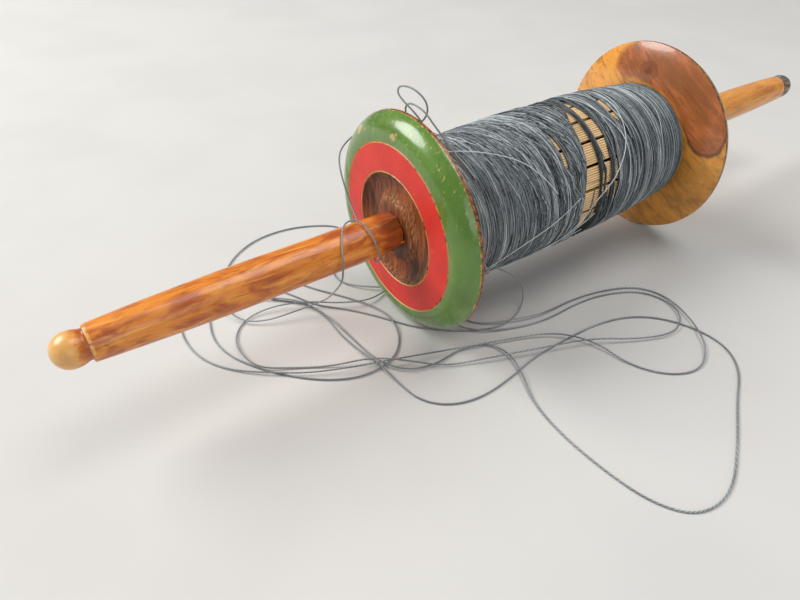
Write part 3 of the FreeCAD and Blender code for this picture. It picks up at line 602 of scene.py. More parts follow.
def line_finish():
    s = bpy.context.scene.disc
    f = Finish("scribed_line", roughness=0.5, specular=0.4)
    out = f.radius()
    inner = f.sum("LESS_THAN", out, (s.hub_radius + RIM_RADIUS - s.crown_width) / 2)
    centre = f.sum("ADD", f.sum("MULTIPLY", inner, s.hub_radius - (RIM_RADIUS - s.crown_width)),
                   RIM_RADIUS - s.crown_width)
    side = f.sum("SUBTRACT", out, centre)
    wander = f.sum("MULTIPLY", f.sum("SUBTRACT", f.noise(160, 2), 0.5), s.scribe_width * 1.5)
    gold = f.fade(f.sum("ADD", side, wander), -s.scribe_width * 0.36, -s.scribe_width * 0.08)
    # The inner part of each line is darker in patches, towards the dark colour; the outer part is gold.
    dark_patches = f.fade(f.noise(300, 3), 0.50, 0.62)
    shade = f.mix(gold, f.mix(dark_patches, tint(s.gold, 0.75), s.dark), tint(s.gold, 1.0))
    f.colour(shade)
    f.bump(f.noise(1200, 2), 0.3, 0.0002)
    return f.material


def rim_finish():
    s = bpy.context.scene.disc
    f = Finish("rim_bare_wood", roughness=0.42, specular=0.45, coat=0.2, coat_roughness=0.2)
    streak = f.noise(420, 4, f.stretch(2.0, 1, 1))
    shade = f.mix(f.fade(streak, 0.38, 0.62), (0.13, 0.036, 0.012), (0.42, 0.135, 0.032))
    f.colour(f.mix(f.fade(f.noise(700, 3), 0.54, 0.64), shade, (0.05, 0.015, 0.007)))
    f.bump(streak, 0.4, 0.0003)
    return f.material


HEART_RADIUS, HEART_HALF_WIDTH = 0.0475, 0.0115
HEART_AHEAD = (-0.423, 0.906)       # direction of the patch's middle, as (y, z)
HEART_REACH = 0.426                 # 1 less the cosine of half its arc
KNOT = (0.002, 0.0428)              # y, z


def varnish_finish(name, with_heart):
    s = bpy.context.scene.disc
    f = Finish(name, roughness=0.26, specular=0.5, coat=0.6, coat_roughness=0.08)
    node = f.add("ShaderNodeMapping")
    node.inputs["Rotation"].default_value = (math.radians(-32), 0, 0)
    f.link(f.place, node.inputs["Vector"])
    turned = node.outputs["Vector"]
    streak = f.noise(230, 4, f.stretch(1, 0.13, 1, turned), 0.7)
    fine = f.noise(820, 3, f.stretch(1, 0.09, 1, turned), 0.3)
    broad = f.noise(34, 2, turned)
    shade = f.mix(f.fade(broad, 0.35, 0.65), s.varnish, tint(s.varnish, 0.80))
    shade = f.mix(f.sum("MULTIPLY", f.fade(streak, 0.47, 0.66), 0.75), shade, tint(s.varnish, 0.45))
    shade = f.mix(f.sum("MULTIPLY", f.fade(streak, 0.42, 0.28), 0.4), shade, tint(s.varnish, 1.35))
    if with_heart:
        # a long patch that follows the rim, lying to both sides of a circle
        out = f.radius()
        across = f.sum("MULTIPLY", f.part("Y"), HEART_AHEAD[0])
        ahead = f.sum("DIVIDE", f.sum("ADD", across, f.sum("MULTIPLY", f.part("Z"), HEART_AHEAD[1])), out)
        end = f.sum("DIVIDE", f.sum("SUBTRACT", 1.0, ahead), HEART_REACH)
        side = f.sum("DIVIDE", f.sum("SUBTRACT", out, HEART_RADIUS), HEART_HALF_WIDTH)
        reach = f.sum("SQRT", f.sum("ADD", f.sum("POWER", end, 2.0), f.sum("POWER", side, 2.0)))
        reach = f.sum("ADD", reach, f.sum("MULTIPLY", f.sum("SUBTRACT", f.noise(60, 3), 0.5), 0.5))
        rings = f.fade(f.noise(300, 4, f.stretch(1, 0.16, 1, turned), 1.1), 0.38, 0.66)
        heart = f.mix(rings, s.heartwood, tint(s.heartwood, 1.9))
        heart = f.mix(f.sum("MULTIPLY", f.fade(reach, 0.62, 0.30), 0.55), heart, tint(s.heartwood, 0.6))
        shade = f.mix(f.sum("MULTIPLY", f.fade(reach, 1.22, 0.96), 0.85), shade, heart)
        outline = f.sum("MULTIPLY", f.fade(reach, 0.98, 1.06), f.fade(reach, 1.16, 1.08))
        low = f.fade(f.part("Y"), -0.022, -0.034)
        shade = f.mix(f.sum("MULTIPLY", f.sum("MULTIPLY", outline, low), 0.8), shade, tint(s.heartwood, 0.45))
        knot = f.near((DRUM_FACE, *KNOT), 0.0026, 0.004)
        ring = f.near((DRUM_FACE, *KNOT), 0.0070, 0.004)
        shade = f.mix(f.sum("MULTIPLY", ring, 0.4), shade, tint(s.heartwood, 0.6))
        shade = f.mix(f.sum("MULTIPLY", knot, 0.5), shade, tint(s.heartwood, 0.35))
    f.colour(f.mix(f.sum("MULTIPLY", f.fade(fine, 0.58, 0.66), 0.5), shade, tint(s.varnish, 0.33)))
    f.bump(f.noise(120, 2), 0.10, 0.0008)
    f.bump(fine, 0.15, 0.0002)
    f.rough(f.noise(90, 2), 0.20, 0.36)
    return f.material


def handle_finish(name, side):
    s = bpy.context.scene.handle
    f = Finish(name, roughness=0.3, specular=0.5, coat=0.35, coat_roughness=0.14)
    along = f.sum("MULTIPLY", f.part("X"), side)
    streak = f.noise(300, 4, f.stretch(0.10, 1, 1), 0.9, 0.6)
    fine = f.noise(850, 4, f.stretch(0.10, 1, 1), 0.5, 0.65)
    figure = f.noise(75, 4, f.stretch(0.42, 1, 1), 1.2, 0.6)
    shade = f.mix(f.fade(figure, 0.36, 0.60), s.deep, s.light)
    if side > 0:
        shade = f.mix(0.6, shade, s.bright)
    shade = f.mix(f.sum("MULTIPLY", f.fade(streak, 0.50, 0.70), 0.55), shade, tint(s.deep, 0.9))
    shade = f.mix(f.sum("MULTIPLY", f.fade(streak, 0.47, 0.33), 0.65), shade, s.bright)
    shade = f.mix(f.sum("MULTIPLY", f.fade(fine, 0.54, 0.66), 0.5), shade, tint(s.deep, 0.55))
    shoulder_from = HANDLE_START + s.facet_length
    ragged = f.sum("MULTIPLY", f.sum("SUBTRACT", figure, 0.5), 0.020)
    red = f.fade(f.sum("ADD", along, ragged), shoulder_from + 0.0055, shoulder_from - 0.0020)
    stain = f.mix(f.fade(streak, 0.4, 0.6), s.shoulder, tint(s.shoulder, 2.2))
    shade = f.mix(f.sum("MULTIPLY", red, 0.82), shade, stain)
    knob_from = HANDLE_TIP[side] - s.knob_length - s.knob_swell
    shoulder_end = knob_from - s.neck_width - s.shoulder_edge
    edge_noise = f.sum("MULTIPLY", f.sum("SUBTRACT", f.noise(380, 3), 0.5), 0.007)
    if side < 0:
        worn = f.fade(f.sum("ADD", along, edge_noise), knob_from + 0.0010, knob_from + 0.0050)
        shade = f.mix(f.sum("MULTIPLY", worn, 0.75), shade, s.worn)
        blotch = f.fade(f.noise(480, 3), 0.45, 0.60)
        shade = f.mix(f.sum("MULTIPLY", f.sum("MULTIPLY", worn, blotch), 0.6), shade, s.bright)
        tip = f.fade(f.sum("ADD", along, edge_noise), HANDLE_TIP[side] - 0.0045, HANDLE_TIP[side] - 0.0015)
        shade = f.mix(f.sum("MULTIPLY", tip, 0.6), shade, tint(s.worn, 1.1))
    else:
        worn = f.fade(f.sum("ADD", along, f.sum("MULTIPLY", edge_noise, 0.3)), knob_from - 0.0012, knob_from)
        shade = f.mix(worn, shade, f.mix(f.fade(streak, 0.4, 0.6), (0.075, 0.055, 0.040), (0.30, 0.25, 0.19)))
    groove = f.sum("MULTIPLY", f.fade(along, shoulder_end + 0.0001, shoulder_end + 0.0006),
                   f.fade(along, knob_from + 0.0022, knob_from - 0.0004))
    shade = f.mix(f.sum("MULTIPLY", groove, 0.7), shade, tint(s.deep, 0.85))
    ring = f.sum("MULTIPLY", f.fade(along, shoulder_end - 0.0013, shoulder_end - 0.0005),
                 f.fade(along, shoulder_end + 0.0006, shoulder_end + 0.0003))
    rubbed = f.fade(f.noise(500, 3), 0.36, 0.56)
    f.colour(f.mix(f.sum("MULTIPLY", f.sum("MULTIPLY", ring, rubbed), 0.75), shade, tint(s.worn, 1.1)))
    f.bump(f.noise(110, 2), 0.12, 0.0008)
    f.bump(fine, 0.22, 0.00025)
    f.rough(f.noise(120, 3), 0.24, 0.42)
    return f.material


def axle_finish():
    s = bpy.context.scene.handle
    f = Finish("axle_wood", roughness=0.5, specular=0.4)
    streak = f.noise(420, 4, f.stretch(0.07, 1, 1))
    f.colour(f.mix(f.fade(streak, 0.35, 0.65), tint(s.deep, 0.6), tint(s.light, 0.6)))
    f.bump(streak, 0.3, 0.0002)
    return f.material


def lacquer_finish():
    s = bpy.context.scene.handle
    f = Finish("lacquer_drop", roughness=0.06, specular=0.6, coat=1.0, coat_roughness=0.03)
    f.colour(f.mix(f.fade(f.noise(900, 2), 0.4, 0.6), tint(s.deep, 0.8), tint(s.light, 0.8)))
    return f.material


def floor_finish(name, shade):
    f = Finish(name, roughness=0.75, specular=0.25)
    f.colour(f.mix(f.fade(f.noise(9, 3), 0.35, 0.65), shade, tint(shade, 0.96)))
    f.bump(f.noise(90, 3), 0.04, 0.001)
    return f.material


# ------------------------------------------------------------------ the drum's shape
def slat_outside(x):
    """Outside radius of the bowed slats at x."""
    s = bpy.context.scene.drum
    return s.end_radius + s.bow * (1 - (x / DRUM_FACE) ** 2)


def winding_outside(x):
    """Outside radius of the thread at x, thickest at its crest and thinner towards both discs."""
    s = bpy.context.scene.thread
    if x < s.crest:
        share = (s.crest - x) / (s.crest - DRUM_FRONT)
        return CREST_RADIUS - (CREST_RADIUS - s.front_radius) * share ** 2
    share = (x - s.crest) / (DRUM_FACE - s.crest)
    return CREST_RADIUS - (CREST_RADIUS - s.rear_radius) * share ** 2


# Where the thread lies apart and the slats show: each gap is a list of (angle, left x, right x),
# with the angle in degrees from the top of the drum towards -Y, and x in millimetres.
MIDDLE_GAP = [(-4, 8.6, 11.6), (13, 6.2, 9.1), (30, 3.1, 5.9), (40, 2.1, 6.9), (55, 1.1, 8.1), (65, -0.7, 6.3),
              (77, -2.3, 5.2), (87, -2.5, 4.7), (98, -2.7, 4.5), (108, -1.6, 4.8), (129, 3.2, 5.7)]
SECOND_GAP = [(-5, 15.8, 19.4), (15, 14.0, 19.7), (31, 13.5, 20.3), (42, 13.2, 20.3), (54, 13.8, 18.8)]
SECOND_GAP_LOW = [(54, 13.4, 14.8), (66, 12.2, 13.6), (78, 10.8, 12.3), (91, 10.4, 11.8)]
SECOND_GAP_HIGH = [(54, 16.9, 18.8), (66, 14.9, 16.7), (78, 13.6, 15.4), (91, 13.5, 15.4)]
FRONT_GAP = [(20, -13.6, -11.9), (31, -14.6, -12.1), (43, -13.6, -10.9), (51, -13.9, -11.0), (60, -14.8, -11.2)]
TOP_GAP = [(-32, 3.0, 7.0), (-20, 4.5, 10.0), (-8, 6.0, 10.5)]
REAR_GAP = [(-6, 36.7, 38.8), (0, 36.2, 39.7), (12, 34.4, 38.5), (27, 33.6, 37.7), (33, 34.0, 35.9)]
THIN_GAPS = [[(50, 23.2, 24.4), (58, 23.3, 24.8), (77, 20.5, 22.0), (98, 22.2, 23.7), (106, 22.7, 23.8)],
             [(62, -7.6, -6.6), (66, -8.0, -6.5), (72, -9.3, -7.8), (79, -11.4, -9.9)],
             [(100, -7.2, -5.8), (105, -7.2, -5.6), (121, -8.3, -6.6)]]
GAPS = [MIDDLE_GAP, SECOND_GAP, SECOND_GAP_LOW, SECOND_GAP_HIGH, FRONT_GAP, TOP_GAP, REAR_GAP] + THIN_GAPS
FAR_SIDE_GAPS = [[(170, 9.0, 10.0), (185, 8.4, 13.2), (205, 10.2, 14.0), (228, 12.0, 13.2)],
                 [(215, -22.0, -21.0), (240, -24.2, -20.8), (262, -24.6, -21.9), (280, -24.0, -23.0)],
                 [(150, 30.0, 30.8), (172, 29.6, 32.0), (190, 31.0, 32.2)]]


def gap_edges(gap, angle):
    """Left and right x of a gap at an angle, or nothing where the gap has ended."""
    for (a, low_a, high_a), (b, low_b, high_b) in zip(gap, gap[1:]):
        if a <= angle <= b:
            share = (angle - a) / (b - a)
            return low_a + (low_b - low_a) * share, high_a + (high_b - high_a) * share
    return None


GAP_MARGIN = 0.35    # mm from a gap's edge to the middle of the nearest strand
GAP_SLOPE = 4.5      # mm over which the winding thins towards a gap
WOUND_HALF = 82      # mm from the drum's middle that the thread is wound


def keep_clear(line):
    """Moves the places of a strand, (x, angle) pairs, to one side of every gap that it would cross."""
    xs = [x for x, _ in line]
    for gap in GAPS + FAR_SIDE_GAPS:
        side = 0
        moved = [0.0] * len(line)
        for index, (_, angle) in enumerate(line):
            turned = (angle + 60) % 360 - 60
            edges = gap_edges(gap, turned) or gap_edges(gap, turned + 360)
            if edges is None:
                side = 0
                continue
            side = side or (-1 if xs[index] < (edges[0] + edges[1]) / 2 else 1)
            if side < 0:
                moved[index] = min(0.0, edges[0] - GAP_MARGIN - xs[index])
            else:
                moved[index] = max(0.0, edges[1] + GAP_MARGIN - xs[index])
        for index, move in enumerate(moved):
            around = moved[max(0, index - 2):index + 3]
            eased = 0.6 * max(around, key=abs) if move == 0 else move
            xs[index] += eased if abs(eased) > 0.01 else 0.0
    return xs


def beside_gap(x, angle):
    """How far a strand is clear of the gaps, from 0 at an edge to 1 at GAP_SLOPE and beyond."""
    nearest = GAP_SLOPE
    for gap in GAPS + FAR_SIDE_GAPS:
        for turned in ((angle + 60) % 360 - 60, (angle + 60) % 360 + 300):
            edges = gap_edges(gap, turned)
            if edges is not None:
                nearest = min(nearest, max(0.0, edges[0] - x, x - edges[1]))
    return nearest / GAP_SLOPE


def on_drum(x, angle, radius):
    """A point in metres: x in millimetres, angle in degrees from the top towards -Y, radius in metres."""
    turn = math.radians(angle)
    return MIDDLE + x * MM, -radius * math.sin(turn), AXIS + radius * math.cos(turn)


# ------------------------------------------------------------------ the pieces, one operator each
class REEL_OT_studio(bpy.types.Operator):
    """Set up the floor, the soft lights and the camera"""
    bl_idname = "reel.studio"
    bl_label = "Studio"

    def execute(self, context):
        s = context.scene.studio
        clear_selection()
        bpy.ops.mesh.primitive_plane_add(size=9, location=(0, 0, 0))
        floor = named("floor")
        take(floor)
        bpy.ops.object.mode_set(mode="EDIT")
        bpy.ops.mesh.select_mode(type="EDGE")
        bpy.ops.mesh.select_all(action="DESELECT")
        bpy.ops.object.mode_set(mode="OBJECT")
        for edge in floor.data.edges:
            edge.select = all(floor.data.vertices[i].co.y > 1 for i in edge.vertices)
        bpy.ops.object.mode_set(mode="EDIT")
        bpy.ops.mesh.extrude_region_move(TRANSFORM_OT_translate={"value": (0, 0, 4)})
        bpy.ops.object.mode_set(mode="OBJECT")
        floor.data.materials.append(floor_finish("floor_finish", tuple(s.floor)))

        world = bpy.data.worlds.new("studio_air")
        context.scene.world = world
        world.use_nodes = True
        world.node_tree.nodes["Background"].inputs["Color"].default_value = (0.92, 0.94, 0.97, 1)
        world.node_tree.nodes["Background"].inputs["Strength"].default_value = 0.34
        self.soft_light("window", (-1.2, 1.3, 1.5), (0, 0, 0.06), 1.5, 50, (1.0, 0.985, 0.96))
        self.soft_light("overhead", (0.5, -0.3, 1.9), (0, 0, 0.05), 1.3, 16, (1.0, 0.98, 0.95))
        self.soft_light("fill", (-0.4, -1.9, 0.9), (0, 0, 0.05), 1.4, 7, (0.97, 0.98, 1.0))

        bpy.ops.object.camera_add(location=tuple(s.camera_place), rotation=tuple(s.camera_turn))
        camera = context.object
        camera.name = "camera"
        camera.data.sensor_width = 36
        camera.data.lens = s.lens
        camera.data.clip_start = 0.005
        context.scene.camera = camera
        context.scene.view_settings.view_transform = "Standard"
        return {"FINISHED"}

    @staticmethod
    def soft_light(name, place, target, size, power, shade):
        clear_selection()
        turn = (Vector(target) - Vector(place)).to_track_quat("-Z", "Y").to_euler()
        bpy.ops.object.light_add(type="AREA", location=place, rotation=turn)
        lamp = bpy.context.object
        lamp.name = name
        lamp.data.shape = "DISK"
        lamp.data.size = size
        lamp.data.energy = power
        lamp.data.color = shade


class REEL_OT_loose_thread(bpy.types.Operator):
    """Lay the loose thread round the handle, over the rim and along the floor"""
    bl_idname = "reel.loose_thread"
    bl_label = "Loose thread"

    def execute(self, context):
        s = context.scene.thread
        line = bpy.data.curves.new("loose_thread_line", "CURVE")
        line.dimensions = "3D"
        spline = line.splines.new("NURBS")
        spline.points.add(len(THREAD_ROUTE) - 1)
        for point, place in zip(spline.points, THREAD_ROUTE):
            point.co = (place[0] + MIDDLE, place[1], place[2], 1)
        spline.order_u = 3
        spline.use_endpoint_u = True
        line.resolution_u = 5
        line.bevel_depth = s.diameter / 2
        line.bevel_resolution = 2
        line.use_fill_caps = True
        thread = bpy.data.objects.new("thread_loose", line)
        context.collection.objects.link(thread)
        line.materials.append(loose_thread_finish(s.length_loose / (4 * s.diameter)))
        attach(thread, "spindle")
        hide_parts("loose_thread")
        return {"FINISHED"}


class REEL_OT_discs(bpy.types.Operator):
    """Turn the two painted discs"""
    bl_idname = "reel.discs"
    bl_label = "Painted discs"

    def execute(self, context):
        s = context.scene.disc
        rim_plane = DRUM_FACE + s.dome_height
        crown_inner = RIM_RADIUS - s.crown_width
        green, red, line = green_finish(), red_finish(), line_finish()
        hub, rim = hub_finish(), rim_finish()

        def finish_at(place):
            out = math.hypot(place.y, place.z - AXIS)
            x = abs(place.x - MIDDLE) - rim_plane
            if x < 0 and out < RIM_RADIUS - 0.0001:
                return "inner"
            if x < 0.0004:
                return "rim"
            if x > s.scribe_depth and min(abs(out - crown_inner), abs(out - s.hub_radius)) < s.scribe_width / 2:
                return "line"
            if out > crown_inner:
                return "green"
            return "red" if out > s.hub_radius else "hub"

        for name, node, side in (("disc_front", "front_disc", -1), ("disc_rear", "rear_disc", 1)):
            inner = varnish_finish(name + "_varnish", side > 0)
            outline = [(side * x, out) for x, out in self.outline(s, rim_plane)]
            piece = turn_outline(name, outline, 180)
            smooth(piece, 24)
            paint_faces(piece, {"green": green, "red": red, "line": line, "hub": hub, "rim": rim,
                                "inner": inner}, finish_at)
            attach(piece, "reel")
            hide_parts(node)
        return {"FINISHED"}

    @staticmethod
    def outline(s, rim_plane):
        """Half outline of a disc as (x, radius): inner face, rim, crown, flat ring, hub and bore."""
        half = s.scribe_width / 2
        crown_inner = RIM_RADIUS - s.crown_width
        face, crown = rim_plane + s.face_height, rim_plane + s.crown_height
        dome = (DRUM_FACE, s.dome_start), (rim_plane - s.rim_land, RIM_RADIUS)
        round_crown = (rim_plane, RIM_RADIUS), (crown, crown_inner + half)
        cove = (face, s.hub_radius - half), (face, s.boss_radius)
        run = s.hub_radius - crown_inner + 2 * half
        flat = [(crown + (face - crown) * k / 3, crown_inner - half + run * k / 3)
                for k in range(4)]
        return ([(DRUM_FACE, s.bore_radius), (DRUM_FACE, s.dome_start / 2)]
                + [dome[0]] + arc(*dome, swell_radius(*dome, s.dome_swell), 12) + [dome[1]]
                + [round_crown[0]] + arc(*round_crown, s.crown_radius, 16) + [round_crown[1]]
                + [(crown - s.scribe_depth, crown_inner)] + flat + [(face - s.scribe_depth, s.hub_radius)]
                + [cove[0]] + arc(*cove, -s.cove_radius, 14) + [cove[1]]
                + [(face, s.boss_radius * 0.7), (face, s.bore_radius)])


class REEL_OT_handles(bpy.types.Operator):
    """Turn the two handles with their eight-sided shoulders and knobs"""
    bl_idname = "reel.handles"
    bl_label = "Handles"

    def execute(self, context):
        s = context.scene.handle
        for name, node, side in (("handle_front", "front_handle", -1), ("handle_rear", "rear_handle", 1)):
            outline = [(side * x, out) for x, out in self.outline(s, side)]
            piece = turn_outline(name, outline, 64, open_at_axis=True)
            self.cut_facets(piece, s, side)
            smooth(piece, 10)
            piece.data.materials.append(handle_finish(name + "_wood", side))
            if side < 0:
                drops = [self.drop(place) for place in
                         ((-0.0999, -0.0095, 0.0556, 0.0011), (-0.1038, -0.0063, 0.0499, 0.0008),
                          (-0.1447, -0.0089, 0.0613, 0.0009))]
                drop_material = lacquer_finish()
                for drop in drops:
                    drop.data.materials.append(drop_material)
                piece = join(name, [piece] + drops)
            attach(piece, "spindle")
            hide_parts(node)
        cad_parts["axle"].data.materials.clear()
        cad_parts["axle"].data.materials.append(axle_finish())
        return {"FINISHED"}

    @staticmethod
    def outline(s, side):
        """Half outline of a handle as (x, radius), from the disc to the tip of the knob."""
        knob_waist = HANDLE_TIP[side] - s.knob_length
        neck_end = knob_waist - s.knob_swell
        neck_start = neck_end - s.neck_width
        shoulder = neck_start - s.shoulder_edge
        grip_end = HANDLE_START + s.facet_length + s.grip_length
        thicker = s.knob_radius - s.neck_radius
        swell_arc = (s.knob_swell ** 2 + thicker ** 2) / 2 / thicker
        ball = (s.knob_length ** 2 + s.knob_radius ** 2) / 2 / s.knob_length
        taper = (grip_end, s.grip_radius), (shoulder, s.end_radius)
        swell = (neck_end, s.neck_radius), (knob_waist, s.knob_radius)
        knob = (knob_waist, s.knob_radius), (HANDLE_TIP[side], 0)
        return ([(HANDLE_START, 0), (HANDLE_START, s.grip_radius)]
                + [(HANDLE_START + s.facet_length * k / 4, s.grip_radius) for k in range(1, 6)]
                + [taper[0]] + arc(*taper, s.bow_radius, 10) + [taper[1]]
                + [(neck_start - s.shoulder_edge * 0.3, s.end_radius - s.shoulder_edge * 0.25),
                   (neck_start, s.end_radius - s.shoulder_edge), (neck_start, s.neck_radius),
                   ((neck_start + neck_end) / 2, s.neck_radius - 0.0001)]
                + [swell[0]] + arc(*swell, swell_arc, 5) + [knob[0]] + arc(*knob, ball, 12) + [knob[1]])

    @staticmethod
    def cut_facets(piece, s, side):
        """Pares eight flats that run out into the round handle."""
        take(piece)
        bpy.ops.object.mode_set(mode="EDIT")
        depth = s.grip_radius - s.facet_apothem + 0.0002
        reach = s.facet_length * 1.15
        for number in range(8):
            turn = number * math.pi / 4
            out = Vector((0, math.cos(turn), math.sin(turn)))
            start = Vector((MIDDLE + side * HANDLE_START, 0, AXIS)) + out * (s.grip_radius - depth)
            normal = (out * reach - Vector((side, 0, 0)) * depth).normalized()
            bpy.ops.mesh.select_all(action="SELECT")
            bpy.ops.mesh.bisect(plane_co=start, plane_no=normal, use_fill=True, clear_outer=True)
        bpy.ops.mesh.select_all(action="SELECT")
        bpy.ops.mesh.remove_doubles(threshold=0.000002)
        bpy.ops.mesh.normals_make_consistent(inside=False)
        bpy.ops.object.mode_set(mode="OBJECT")

    @staticmethod
    def drop(place):
        """A drop of lacquer that has set on the handle, flattened against it."""
        clear_selection()
        x, y, z, size = place
        out = Vector((0, y, z - AXIS)).normalized()
        bpy.ops.mesh.primitive_uv_sphere_add(segments=20, ring_count=12, radius=size, location=(MIDDLE + x, y, z),
                                             rotation=out.to_track_quat("Z", "Y").to_euler(),
                                             scale=(1.15, 0.9, 0.45))
        piece = named("lacquer_drop")
        settle(piece)
        bpy.ops.object.shade_smooth()
        return piece


class REEL_OT_drum(bpy.types.Operator):
    """Split one bamboo slat with its ribs and set it round the drum"""
    bl_idname = "reel.drum"
    bl_label = "Bamboo drum"

    def execute(self, context):
        s = context.scene.drum
        first = self.split_slat(s)
        first.data.materials.append(bamboo_finish())
        for number, node in enumerate(SLAT_NODES):
            name = node.replace("slat", "bamboo")
            piece = first if number == 0 else turned_copy(first, name, 2 * math.pi * number / s.slat_count)
            piece.name = name
            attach(piece, "reel")
            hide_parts(node)
        return {"FINISHED"}

    @staticmethod
    def split_slat(s):
        """The slat on the +Y side, bowed outwards and ribbed along its length."""
        clear_selection()
        along, across = 25, s.ribs * 4 + 1
        bpy.ops.mesh.primitive_grid_add(x_subdivisions=along - 1, y_subdivisions=across - 1, size=2)
        piece = named("bamboo_01")
        width = 2 * math.pi / s.slat_count - s.gap / s.end_radius
        reach = DRUM_FACE + s.seat
        valleys = piece.data.attributes.new("valley", "FLOAT", "POINT")
        for index, vertex in enumerate(piece.data.vertices):
            x = vertex.co.x * reach
            share = (vertex.co.y + 1) / 2
            rib = abs(math.sin(share * s.ribs * math.pi))
            edge = min(1, min(share, 1 - share) * s.ribs * 2.5)
            out = slat_outside(max(-DRUM_FACE, min(DRUM_FACE, x))) - s.rib_height * (1 - rib) - 0.0003 * (1 - edge)
            turn = (share - 0.5) * width
            vertex.co = (MIDDLE + x, out * math.cos(turn), AXIS + out * math.sin(turn))
            # Painted shade: 1 in the valley between two ribs, 0 on the crown of a rib.
            valleys.data[index].value = max(0, 1 - rib * 2.4)
        take(piece)
        bpy.ops.object.mode_set(mode="EDIT")
        bpy.ops.mesh.select_all(action="SELECT")
        bpy.ops.mesh.normals_make_consistent(inside=False)
        bpy.ops.object.mode_set(mode="OBJECT")
        outward = sum((face.normal.y for face in piece.data.polygons)) > 0
        wall = piece.modifiers.new("wall", "SOLIDIFY")
        wall.thickness = s.thickness - s.rib_height
        wall.offset = -1 if outward else 1
        bpy.ops.object.modifier_apply(modifier=wall.name)
        bpy.ops.object.mode_set(mode="EDIT")
        bpy.ops.mesh.select_all(action="SELECT")
        bpy.ops.mesh.normals_make_consistent(inside=False)
        bpy.ops.object.mode_set(mode="OBJECT")
        smooth(piece, 40)
        return piece


